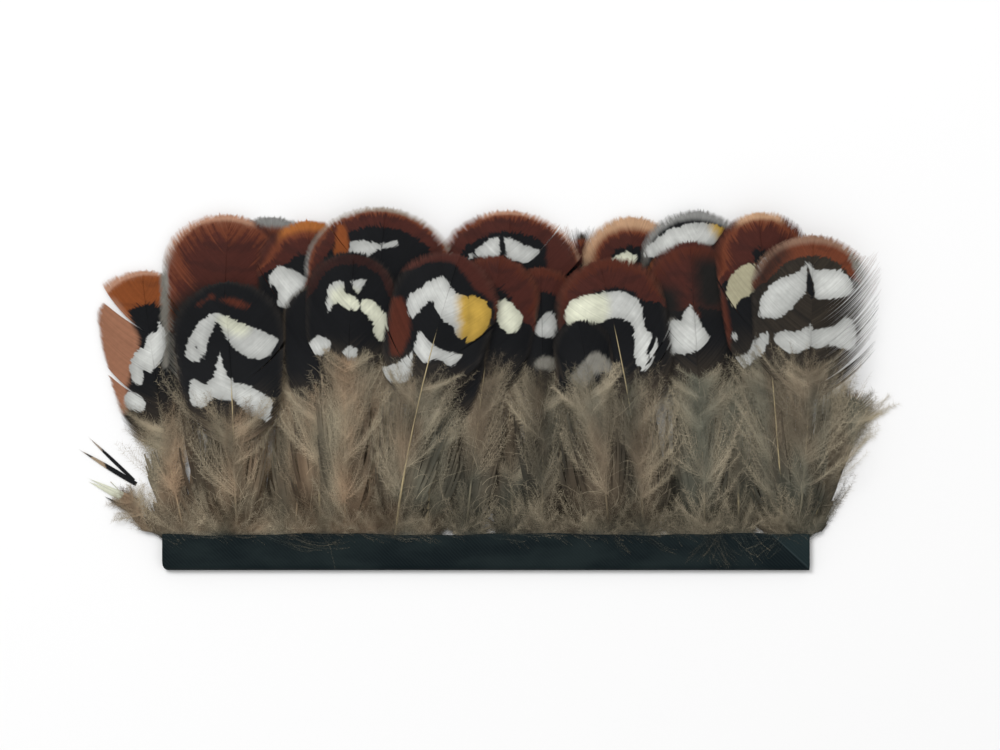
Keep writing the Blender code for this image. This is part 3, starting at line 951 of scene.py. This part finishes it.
def add_plumes(strands, q, reach, along, lift, tone, jag, size=1.0):
    """Threads with fine barbules down both edges."""
    f = strands.feather
    rng = f.rng
    count, steps = reach.shape
    run, step_length = add_threads(strands, q, reach, along, lift, tone, jag, size * PLUME_WIDTH)
    total = float(step_length[:, :-1].sum(axis=1).mean())
    each = max(8, int(total / BARBULE_SPACING))
    half = BARBULE_WIDTH * 0.5
    for edge in (-1.0, 1.0):
        spot = (np.arange(each)[None, :] + rng.uniform(0.0, 1.0, (count, each))) / each
        spot = 0.04 + 0.96 * spot
        cell = np.clip((spot * (steps - 1)).astype(int), 0, steps - 2)
        part = spot * (steps - 1) - cell
        rows = np.arange(count)[:, None]

        def at(grid):
            return grid[rows, cell] * (1.0 - part) + grid[rows, cell + 1] * part

        base_side, base_along, base_lift = at(reach), at(along), at(lift)
        run_side, run_along = at(run[..., 0]), at(run[..., 1])
        turn = rng.uniform(0.2, 1.15, (count, each)) * edge
        cos, sin = np.cos(turn), np.sin(turn)
        go_side = run_side * cos + run_along * sin
        go_along = run_along * cos - run_side * sin
        long = size * BARBULE_LENGTH * rng.uniform(0.5, 1.2, (count, each)) * (1.0 - 0.45 * spot)
        tilt = rng.normal(0.0, 0.35, (count, each))

        def corner(way_side, way_along, far, higher, share):
            return strands.add(
                base_side + way_side * far, (base_along + way_along * far) / f.length,
                base_lift + higher, tone=tone, jag=jag, reach=share, plume=1.0)

        near = corner(run_side, run_along, -half, 0.0, spot)
        far = corner(run_side, run_along, half, 0.0, spot)
        tip = corner(go_side, go_along, long, tilt, np.minimum(1.0, spot + 0.4))
        strands.triangles.append(np.stack((near, far, tip), axis=-1).reshape(-1, 3))


def shaft_tube(strands):
    """The quill and shaft, tapering, six-sided."""
    along = np.linspace(0.0, strands.feather.last, 40)
    thin = np.minimum(1.0, along / strands.feather.last * 1.25) ** 0.7
    radius = QUILL_RADIUS + (SHAFT_TIP_RADIUS - QUILL_RADIUS) * thin
    turns = np.linspace(0.0, 2.0 * math.pi, 7)[None, :-1]
    side = radius[:, None] * np.cos(turns)
    lift = radius[:, None] * np.sin(turns) + SHAFT_LIFT
    ring = strands.add(side, np.broadcast_to(along[:, None], side.shape), lift, quill=1.0)
    for i in range(6):
        strands.ribbon(ring[:, i][None], ring[:, (i + 1) % 6][None])
    for end in (0, -1):
        hub = strands.add(np.zeros(1), along[[end]], SHAFT_LIFT, quill=1.0)
        for i in range(6):
            faces = (ring[end, i], ring[end, (i + 1) % 6], hub[0])
            strands.triangles.append(np.array([faces]))


def loose_tips(strands):
    """The bare tips of a worn feather, each a slim blade of a few barbs."""
    f = strands.feather
    count = TIP_BARBS
    for (start_x, start_y), (end_x, end_y), half_width in LOOSE_TIPS.get(f.number, ()):
        q = shares_of(BARB_STEPS)
        place = np.linspace(-1.0, 1.0, count)[:, None]
        length = math.hypot(end_x - start_x, end_y - start_y)
        across = ((start_y - end_y) / length, (end_x - start_x) / length)
        spread = half_width * place * (1.0 - q) ** 0.8 * (0.6 + q * 1.3)
        end = 1.0 - 0.25 * f.rng.uniform(0.0, 1.0, count)[:, None] * np.abs(place)
        sides = []
        for edge in (-0.6, 0.6):
            off = spread + edge * half_width * 2.0 / count * (1.0 - q) ** 0.5
            x = start_x + (end_x - start_x) * q * end + across[0] * off
            y = start_y + (end_y - start_y) * q * end + across[1] * off
            side, along = f.local(x, y)
            tone = f.rng.normal(0.0, 0.6, count)[:, None]
            sides.append(strands.add(side, along, 0.1 + 0.05 * place, tone=tone, reach=q * 0.8))
        strands.ribbon(*sides)


def wisps(strands):
    """Stray hairs of the down that lie back over the binding."""
    f = strands.feather
    rng = f.rng
    q = shares_of(PLUME_STEPS)
    strands.over_binding = True
    short = (7, (f.root_x - 3.0, 11.4), (f.root_x + 2.0, 8.9), 0.2, 1.9)
    for count, (x0, y0), (x1, y1), sag, loose in WISPS.get(f.number, ()) + (short,):
        off = rng.normal(0.0, loose, (4, count, 1))
        x = x0 + off[0] + (x1 - x0 + off[1]) * q
        y = y0 + 0.35 * off[2] + (y1 - y0 + 0.6 * off[3]) * q - sag * 4.0 * q * (1.0 - q)
        y = y + 0.2 * np.sin(q * 9.0 + off[0] * 3.0)
        side, along = f.local(x, y)
        above = TAPE_THICK + rng.uniform(0.12, 0.5, count)[:, None] - f.height(x, y, side)
        lift = above * (1.0 - smooth(11.5, 14.0, y))
        tone = rng.normal(-0.4, 0.6, count)[:, None]
        add_plumes(strands, q, side, along * f.length, lift, tone, 0.0, WISP_SIZE)


def read_values(strands):
    """What the material reads at each point: its bands, its ground and its marks."""
    f = strands.feather
    _, _, rim_deep, band_deep, fade, down_at = BANDS[f.number]
    points = np.concatenate(strands.points)
    values = {k: np.concatenate([v[k] for v in strands.values]) for k in strands.values[0]}
    from_tip = (1.0 - values["along"]) * f.length
    vane = values["plume"] < 0.5
    depth = np.full(len(points), FAR)
    depth[vane] = -outline_distance(points[vane, :2], strands.edge)
    depth = np.maximum(depth, 0.0)
    inner = 1.0 + (depth - rim_deep) / (band_deep - rim_deep)
    inner = np.where(depth < band_deep, inner, 2.0 + (depth - band_deep) / 3.0)
    band = np.where(depth < rim_deep, depth / rim_deep, inner)
    band = band + 3.0 * smooth(fade - 6.0, fade + 3.0, from_tip)
    ground = np.clip((from_tip - 0.5 * down_at) / (0.5 * down_at + 11.0), 0.0, 1.0)
    ground = np.maximum(ground, GROUND_FROM.get(f.number, 0.0))
    downy = np.clip(0.55 + (from_tip - down_at + 14.0) / 16.0, 0.5, 1.0)
    shown = QUILL_SHOWN.get(f.number, down_at + 8.0)
    hidden = QUILL_HIDDEN.get(f.number, 54.0)
    quill = values["quill"] * smooth(shown, shown + 5.0, from_tip)
    quill = quill * (1.0 - 0.85 * smooth(hidden, hidden + 8.0, from_tip))
    read = {
        "strand": np.stack((values["jag"], values["tone"], values["reach"]), axis=1),
        "ladder": np.stack((band, np.where(vane, ground, downy), quill), axis=1),
        "plume": values["plume"],
        "arc": from_tip + 0.4 * values["side"] ** 2 / f.widest,
    }
    for group, kinds in MARK_GROUPS.items():
        near = {kind: np.full(len(points), FAR) for kind in kinds}
        for kind, *outline in MARKS.get(f.number, ()):
            if kind in kinds:
                away = outline_distance(points[vane, :2], rounded_outline(outline))
                near[kind][vane] = np.minimum(near[kind][vane], away)
        read[group] = np.stack([near[kind] for kind in kinds], axis=1)
    return points, read, values


def mesh_of(name, points, quads, triangles):
    mesh = bpy.data.meshes.new(name)
    loops = np.concatenate((quads.ravel(), triangles.ravel())).astype(np.int32)
    sizes = np.concatenate((np.full(len(quads), 4), np.full(len(triangles), 3)))
    starts = np.concatenate(([0], np.cumsum(sizes)[:-1])).astype(np.int32)
    mesh.vertices.add(len(points))
    mesh.loops.add(len(loops))
    mesh.polygons.add(len(sizes))
    mesh.vertices.foreach_set("co", points.astype(np.float32).ravel())
    mesh.loops.foreach_set("vertex_index", loops)
    mesh.polygons.foreach_set("loop_start", starts)
    mesh.update(calc_edges=True)
    mesh.validate()
    return mesh, loops


def add_attribute(mesh, name, values):
    kind = "FLOAT" if values.ndim == 1 else "FLOAT_VECTOR"
    made = mesh.attributes.new(name, kind, "POINT")
    key = "value" if values.ndim == 1 else "vector"
    made.data.foreach_set(key, values.astype(np.float32).ravel())


def in_frame(points):
    return (points - np.array((0.0, BACK_MIDDLE_Y, 0.0))) * MM


def place_in_scene(name, data):
    made = bpy.data.objects.new(name, data)
    bpy.context.scene.collection.objects.link(made)
    return made


def blended(first, second, share):
    """Goes from one named colour to another as a column of shares goes from 0 to 1."""
    return linear(first) * (1.0 - share) + linear(second) * share


def vane_tints(f, points, values):
    """The colours of the band, of what lies between rim and band, and of the rim."""
    rim, body = BANDS[f.number][:2]
    middle = body
    if body == "maroon":
        middle = "brown" if rim in ("brown", "maroon") else "chestnut"
    down_side = smooth(7.0, 18.0, (1.0 - values["along"]) * f.length)[:, None]
    rim_tint = blended(rim, SIDE_RIMS.get(f.number, "umber"), down_side)
    if f.number in RIM_SPANS:
        low, high, beyond = RIM_SPANS[f.number]
        held = smooth(low, low + 3.0, points[:, 0]) * (1.0 - smooth(high - 3.0, high, points[:, 0]))
        rim_tint = rim_tint * held[:, None] + linear(beyond) * (1.0 - held[:, None])
    shape = (len(points), 3)
    return np.broadcast_to(linear(middle), shape), np.broadcast_to(linear(body), shape), rim_tint


def down_tint_and_shade(f, points, values):
    """The down's colour: cooler to the right and darker low down, with painted shade on strands that
    lie low in the stack and towards each feather's sides.
    """
    greyer = smooth(-45.0, 0.0, points[:, 0])[:, None]
    shade = 0.5 + 0.5 * smooth(9.0, 24.0, points[:, 1])[:, None]
    # Painted shade: strands that lie below their feather's own height are made darker, those above it
    # lighter.
    above = points[:, 2] - f.height(points[:, 0], points[:, 1], values["side"])
    shade = shade * (0.62 + 0.62 * smooth(-0.9, 0.8, above))[:, None]
    # Painted shade: the down darkens away from the shaft, in the gaps between the feathers' columns.
    aside = np.abs(values["side"]) / (DOWN_SHARE * f.widest)
    shade = shade * (1.15 - COLUMN_PAINTED_SHADE * smooth(0.35, 1.15, aside))[:, None]
    tint = blended("down", "grey_down", greyer) * shade * DOWN_SHADES.get(f.number, 1.0)
    over_binding = 1.0 - smooth(9.0, 11.0, points[:, 1])[:, None]
    return tint * (1.0 - over_binding) + WISP_SHADE * linear("wisp") * over_binding


def build_feather(number, surface):
    f = Feather(number)
    strands = Strands(f)
    shaft_tube(strands)
    for side in (-1, 1):
        if number not in LOOSE_TIPS:
            vane_barbs(strands, side)
        under_down(strands, side)
        down_plumes(strands, side)
        stray_hairs(strands, side)
    loose_tips(strands)
    wisps(strands)
    name = f"feather_{number:02d}"
    points, attributes, values = read_values(strands)
    quads = np.concatenate(strands.quads)
    triangles = np.concatenate(strands.triangles)
    mesh, loops = mesh_of(name + "_barbs", in_frame(points), quads, triangles)
    middle, band, rim = vane_tints(f, points, values)
    attributes.update({"middle_tint": middle, "band_tint": band, "rim_tint": rim})
    attributes["down_tint_and_shade"] = down_tint_and_shade(f, points, values)
    for key, value in attributes.items():
        add_attribute(mesh, key, value)
    layer = mesh.uv_layers.new(name="OFBake")
    across = 0.5 + 0.46 * np.clip(values["side"] / (f.widest * 1.35), -1.0, 1.0)
    across = np.where(values["quill"] > 0.5, 0.98, across)
    uv = np.stack((across, 0.02 + 0.94 * np.clip(values["along"], 0.0, 1.05)), axis=1)
    layer.data.foreach_set("uv", uv[loops].astype(np.float32).ravel())
    mesh.materials.append(surface)
    made = place_in_scene(name + "_barbs", mesh)
    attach(made, "root")
    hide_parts(name)


class Nodes:
    """Short ways to add and join a material's shader nodes."""

    def __init__(self, name, roughness, specular):
        self.material = bpy.data.materials.new(name)
        self.material.use_nodes = True
        self.tree = self.material.node_tree
        self.surface = self.tree.nodes["Principled BSDF"].inputs
        self.surface["Roughness"].default_value = roughness
        self.surface["Specular IOR Level"].default_value = specular

    def add(self, kind, **settings):
        node = self.tree.nodes.new(kind)
        for key, value in settings.items():
            setattr(node, key, value)
        return node

    def put(self, socket, value):
        if isinstance(value, bpy.types.NodeSocket):
            self.tree.links.new(value, socket)
        else:
            socket.default_value = value

    def math(self, operation, *values):
        node = self.add("ShaderNodeMath", operation=operation)
        for socket, value in zip(node.inputs, values):
            self.put(socket, value)
        return node.outputs[0]

    def plus(self, first, second):
        return self.math("ADD", first, second)

    def times(self, first, second):
        return self.math("MULTIPLY", first, second)

    def scaled(self, value, by, then):
        return self.math("MULTIPLY_ADD", value, by, then)

    def ramp(self, value, low, high, to_low=0.0, to_high=1.0):
        node = self.add("ShaderNodeMapRange", interpolation_type="SMOOTHSTEP")
        for socket, put in zip(node.inputs, (value, low, high, to_low, to_high)):
            self.put(socket, put)
        return node.outputs[0]

    def mix(self, share, first, second, blend="MIX"):
        node = self.add("ShaderNodeMix", data_type="RGBA", blend_type=blend)
        self.put(node.inputs[0], share)
        self.put(node.inputs[6], first)
        self.put(node.inputs[7], second)
        return node.outputs[2]

    def shaded(self, colour, shade):
        """The colour times one number."""
        node = self.add("ShaderNodeCombineXYZ")
        for socket in node.inputs:
            self.put(socket, shade)
        return self.mix(1.0, colour, node.outputs[0], "MULTIPLY")

    def laid(self, under, over, near, low, high):
        """The second colour over the first, up to a distance from a mark."""
        return self.mix(self.ramp(near, low, high, 1.0, 0.0), under, over)

    def read(self, name, output="Color"):
        return self.add("ShaderNodeAttribute", attribute_name=name).outputs[output]

    def parts(self, vector):
        node = self.add("ShaderNodeSeparateXYZ")
        self.put(node.inputs[0], vector)
        return node.outputs[0], node.outputs[1], node.outputs[2]

    def place(self):
        return self.add("ShaderNodeTexCoord").outputs["Object"]

    def noise(self, scale, detail=2.0, stretch=(1.0, 1.0, 1.0)):
        mapping = self.add("ShaderNodeMapping")
        self.put(mapping.inputs["Vector"], self.place())
        mapping.inputs["Scale"].default_value = stretch
        node = self.add("ShaderNodeTexNoise")
        self.put(node.inputs["Vector"], mapping.outputs[0])
        node.inputs["Scale"].default_value = scale
        node.inputs["Detail"].default_value = detail
        return node.outputs[0]


def paint(name):
    return (*linear(name), 1.0)


def down_colour(n, reach, tone, patched, plume):
    """Black towards the tip, umber and then down-coloured, with paler ends to the plumes."""
    low = n.mix(n.ramp(patched, 0.3, 0.75), paint("black"), paint("umber"))
    patches = n.noise(75.0, 3.0, (1.0, 0.3, 1.0))
    warm = n.mix(n.ramp(patches, 0.35, 0.65), paint("cool_cast"), paint("warm_cast"))
    # The down's own colour, with the painted shade that was worked into it for each point.
    down = n.mix(1.0, n.read("down_tint_and_shade"), warm, "MULTIPLY")
    low = n.mix(n.ramp(patched, 0.6, 1.0), low, down)
    ends = n.ramp(n.plus(reach, n.times(tone, 0.35)), 0.2, 1.6)
    return n.mix(plume, low, n.mix(ends, low, paint("down_tip")))


def with_marks(n, colour, rough):
    """The colour with the vane's marks laid over it, the pale ones slightly worn."""
    marks = {}
    for group, kinds in MARK_GROUPS.items():
        for kind, near in zip(kinds, n.parts(n.read(group, "Vector"))):
            marks[kind] = n.plus(rough, near)
    for kind, soft in SOFT_MARKS.items():
        colour = n.laid(colour, paint(kind), marks[kind], -soft, soft)
    pale = n.laid(paint("white"), paint("cream"), marks["cream"], 0.2, 3.6)
    pale = n.laid(pale, paint("yellow"), marks["yellow"], 0.2, 4.0)
    nearest = n.math("MINIMUM", marks["cream"], marks["yellow"])
    nearest = n.math("MINIMUM", marks["white"], nearest)
    worn = n.scaled(n.ramp(n.noise(95.0, 2.0), 0.35, 0.65), 0.24, 0.76)
    worn = n.times(worn, n.ramp(nearest, -2.6, 0.1, 1.14, 0.84))
    pale = n.shaded(pale, worn)
    colour = n.laid(colour, pale, nearest, -MARK_EDGE, MARK_EDGE)
    for kind in ("buff", "black"):
        colour = n.laid(colour, paint(kind), marks[kind], -MARK_EDGE, MARK_EDGE)
    return colour


def feather_material():
    n = Nodes("barred pheasant feather", 0.6, 0.1)
    jag, tone, reach = n.parts(n.read("strand", "Vector"))
    band, ground, quill = n.parts(n.read("ladder", "Vector"))
    plume = n.read("plume", "Fac")
    fine = n.noise(900.0, 3.0)
    broad = n.noise(140.0, 2.0)
    rough = n.plus(n.times(jag, 0.3), n.scaled(fine, 0.8, -0.4))
    shifted = n.plus(band, n.times(rough, 0.45))
    soft_band = n.plus(band, n.times(rough, 0.16))
    arcs = n.math("SINE", n.scaled(n.read("arc", "Fac"), 1.1, n.times(broad, 9.0)))
    deep = n.mix(0.7, n.read("band_tint"), paint("black"))
    body = n.mix(n.ramp(arcs, 0.1, 1.1, 0.0, 0.3), n.read("band_tint"), deep)
    colour = n.mix(n.ramp(soft_band, 0.45, 1.1), n.read("rim_tint"), n.read("middle_tint"))
    colour = n.mix(n.ramp(shifted, 1.0, 1.3), colour, body)
    patched = n.scaled(n.plus(jag, broad), 0.06, ground)
    low = down_colour(n, reach, tone, patched, plume)
    colour = n.mix(n.ramp(shifted, 1.9, 2.1), colour, low)
    colour = with_marks(n, colour, rough)
    worn = n.times(n.ramp(reach, 0.8, 1.05, 0.0, 0.06), n.math("SUBTRACT", 1.0, plume))
    colour = n.mix(worn, colour, paint("ash"))
    colour = n.mix(quill, colour, paint("horn"))
    # Broad noise darkens and lightens the down in patches, as painted shade and light of its clumps.
    tuft_painted_shade = n.noise(120.0, 3.0, (1.0, 0.4, 1.0))
    shade = n.scaled(tone, n.scaled(plume, 0.11, 0.1), 1.0)
    shade = n.plus(shade, n.times(plume, n.ramp(tuft_painted_shade, 0.3, 0.7, -0.3, 0.3)))
    shade = n.times(shade, n.scaled(fine, 0.3, 0.85))
    n.put(n.surface["Base Color"], n.shaded(colour, shade))
    return n.material


def binding_material():
    n = Nodes("dark teal twill satin", 0.55, 0.06)
    blotch = n.noise(60.0, 4.0, (1.0, 2.5, 1.0))
    weave = n.add("ShaderNodeTexWave", bands_direction="DIAGONAL")
    weave.inputs["Scale"].default_value = 620.0
    weave.inputs["Distortion"].default_value = 0.6
    n.put(weave.inputs["Vector"], n.place())
    base = n.mix(n.ramp(blotch, 0.35, 0.7), CLOTH_DARK, CLOTH_WORN)
    colour = n.mix(n.times(weave.outputs[1], 0.4), base, CLOTH_THREAD)
    x, y, _ = n.parts(n.place())
    across_x = n.scaled(x, CREASE_TURN[0] / MM, -CREASE_X * CREASE_TURN[0])
    across_y = n.scaled(y, CREASE_TURN[1] / MM, -(CREASE_Y - BACK_MIDDLE_Y) * CREASE_TURN[1])
    across = n.plus(across_x, across_y)
    # Past the diagonal crease the cloth is made paler as painted light on the folded corner, and a
    # painted highlight runs along the crease itself.
    colour = n.mix(n.ramp(across, -0.3, 0.3, 0.0, 0.4), colour, CLOTH_FOLD_PAINTED_LIGHT)
    crease_highlight = n.times(n.ramp(across, -0.35, 0.0), n.ramp(across, 0.0, 0.35, 0.35, 0.0))
    n.put(n.surface["Base Color"], n.mix(crease_highlight, colour, CLOTH_CREASE_HIGHLIGHT))
    bump = n.add("ShaderNodeBump")
    bump.inputs["Strength"].default_value = 0.35
    bump.inputs["Distance"].default_value = 0.0001
    n.put(bump.inputs["Height"], weave.outputs[1])
    n.put(n.surface["Normal"], bump.outputs[0])
    return n.material


def binding_section():
    """Closed section of the fold as (y, z), round the outside and back inside."""
    outer = TAPE_THICK / 2.0
    inner = outer - PLY
    hem_y = TAPE_DEPTH - HEM_DEPTH
    turns = np.linspace(0.0, math.pi, 13)
    lip = HEM + PLY
    points = [(y, 0.0) for y in np.linspace(TAPE_DEPTH - 0.15, outer + 0.3, 8)]
    points += [(outer - outer * math.sin(t), outer - outer * math.cos(t)) for t in turns]
    points += [(y, TAPE_THICK) for y in np.linspace(outer + 0.3, TAPE_DEPTH - 0.15, 16)]
    points += [(TAPE_DEPTH, TAPE_THICK - 0.15), (TAPE_DEPTH, TAPE_THICK - lip + 0.1)]
    points += [(hem_y, TAPE_THICK - lip), (hem_y - HEM, TAPE_THICK - PLY)]
    points += [(outer - inner * math.sin(t), outer - inner * math.cos(t)) for t in turns[::-3]]
    points += [(hem_y - HEM, PLY), (hem_y, lip), (TAPE_DEPTH, lip - 0.1), (TAPE_DEPTH, 0.15)]
    return np.array(points)


def binding_inset(x):
    left = np.maximum(0.0, CORNER_RADIUS - (x + TAPE_HALF_LENGTH))
    return CORNER_RADIUS - np.sqrt(np.maximum(0.0, CORNER_RADIUS**2 - left * left))


def build_binding(surface):
    section = binding_section()
    corner = -TAPE_HALF_LENGTH + CORNER_RADIUS * np.linspace(0.0, 0.9, 8) ** 1.6
    run = np.linspace(-TAPE_HALF_LENGTH + CORNER_RADIUS, TAPE_HALF_LENGTH, 320)
    x = np.concatenate((corner, run))[:, None]
    share = (section[:, 0] / TAPE_DEPTH)[None, :]
    inset = binding_inset(x)
    wave = 0.25 * (np.sin(x * 0.11) + 0.5 * np.sin(x * 0.37 + 1.0)) - 0.25
    y = inset + (TAPE_DEPTH - inset) * share + wave * np.maximum(0.0, share - 0.5) * 2.0
    z = np.broadcast_to(section[:, 1][None, :], y.shape).copy()
    upper = smooth(1.6, TAPE_THICK, z)
    roots = np.array([shape[0] for shape in FEATHERS.values()])
    crease_highlight = np.exp(-(((x - roots[None, :]) / 1.3) ** 2)).sum(axis=1, keepdims=True)
    pucker = 0.05 * np.sin(x * 0.9 + share * 2.0) + 0.05 * np.sin(x * 2.3 + 1.0 + share * 3.0)
    raised = (0.13 * np.minimum(1.0, crease_highlight) - 0.1) * smooth(0.25, 0.9, share)
    z = z + upper * (raised + pucker * share)
    crease = smooth(-0.25, 0.25, (x - CREASE_X) * CREASE_TURN[0] + (y - CREASE_Y) * CREASE_TURN[1])
    z = z - upper * 0.28 * (1.0 - crease) * smooth(74.0, 80.0, x)
    rows, columns = y.shape
    points = np.stack((np.broadcast_to(x, y.shape), y, z), axis=-1).reshape(-1, 3)
    numbers = np.arange(rows * columns).reshape(rows, columns)
    nxt = np.roll(numbers, -1, axis=1)
    quads = np.stack((numbers[:-1], nxt[:-1], nxt[1:], numbers[1:]), axis=-1).reshape(-1, 4)
    mesh, _ = mesh_of("binding_cloth", in_frame(points), quads, np.zeros((0, 3), int))
    body = place_in_scene("binding_cloth", mesh)
    close_ends(mesh)
    mesh.materials.append(surface)
    for polygon in mesh.polygons:
        polygon.use_smooth = True
    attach(body, "root")
    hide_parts("binding_tape")


def close_ends(mesh):
    work = bmesh.new()
    work.from_mesh(mesh)
    open_edges = [edge for edge in work.edges if edge.is_boundary]
    bmesh.ops.holes_fill(work, edges=open_edges, sides=0)
    bmesh.ops.recalc_face_normals(work, faces=work.faces)
    work.to_mesh(mesh)
    work.free()


def build_stage():
    mesh = bpy.data.meshes.new("floor")
    corners = [(x * FLOOR_SIZE, y * FLOOR_SIZE, 0.0) for x, y in ((-1, -1), (1, -1), (1, 1), (-1, 1))]
    mesh.from_pydata(corners, [], [(0, 1, 2, 3)])
    n = Nodes("white studio floor", 0.9, 0.1)
    n.put(n.surface["Base Color"], FLOOR_COLOUR)
    mesh.materials.append(n.material)
    floor = place_in_scene("floor", mesh)


def build_light():
    world = bpy.data.worlds.new("studio")
    bpy.context.scene.world = world
    world.use_nodes = True
    background = world.node_tree.nodes["Background"]
    background.inputs[0].default_value = (1.0, 1.0, 1.0, 1.0)
    background.inputs[1].default_value = SKY_STRENGTH
    for name, (place, size, power) in LIGHTS.items():
        light = bpy.data.lights.new(name, "AREA")
        light.size = size
        light.energy = power
        item = place_in_scene(name, light)
        item.location = place
        item.rotation_euler = (-Vector(place)).to_track_quat("-Z", "Y").to_euler()


def build_camera():
    camera = bpy.data.cameras.new("camera")
    camera.sensor_width = 36.0
    camera.lens = CAMERA_LENS
    item = place_in_scene("camera", camera)
    item.location = (CAMERA_X, (CAMERA_Y - BACK_MIDDLE_Y) * MM, 1.0)
    scene = bpy.context.scene
    scene.camera = item
    scene.view_settings.view_transform = "Standard"
    scene.view_settings.look = "None"


def build_all():
    surface = feather_material()
    build_binding(binding_material())
    for number in FEATHERS:
        build_feather(number, surface)
    build_stage()
    build_light()
    build_camera()


build_all()
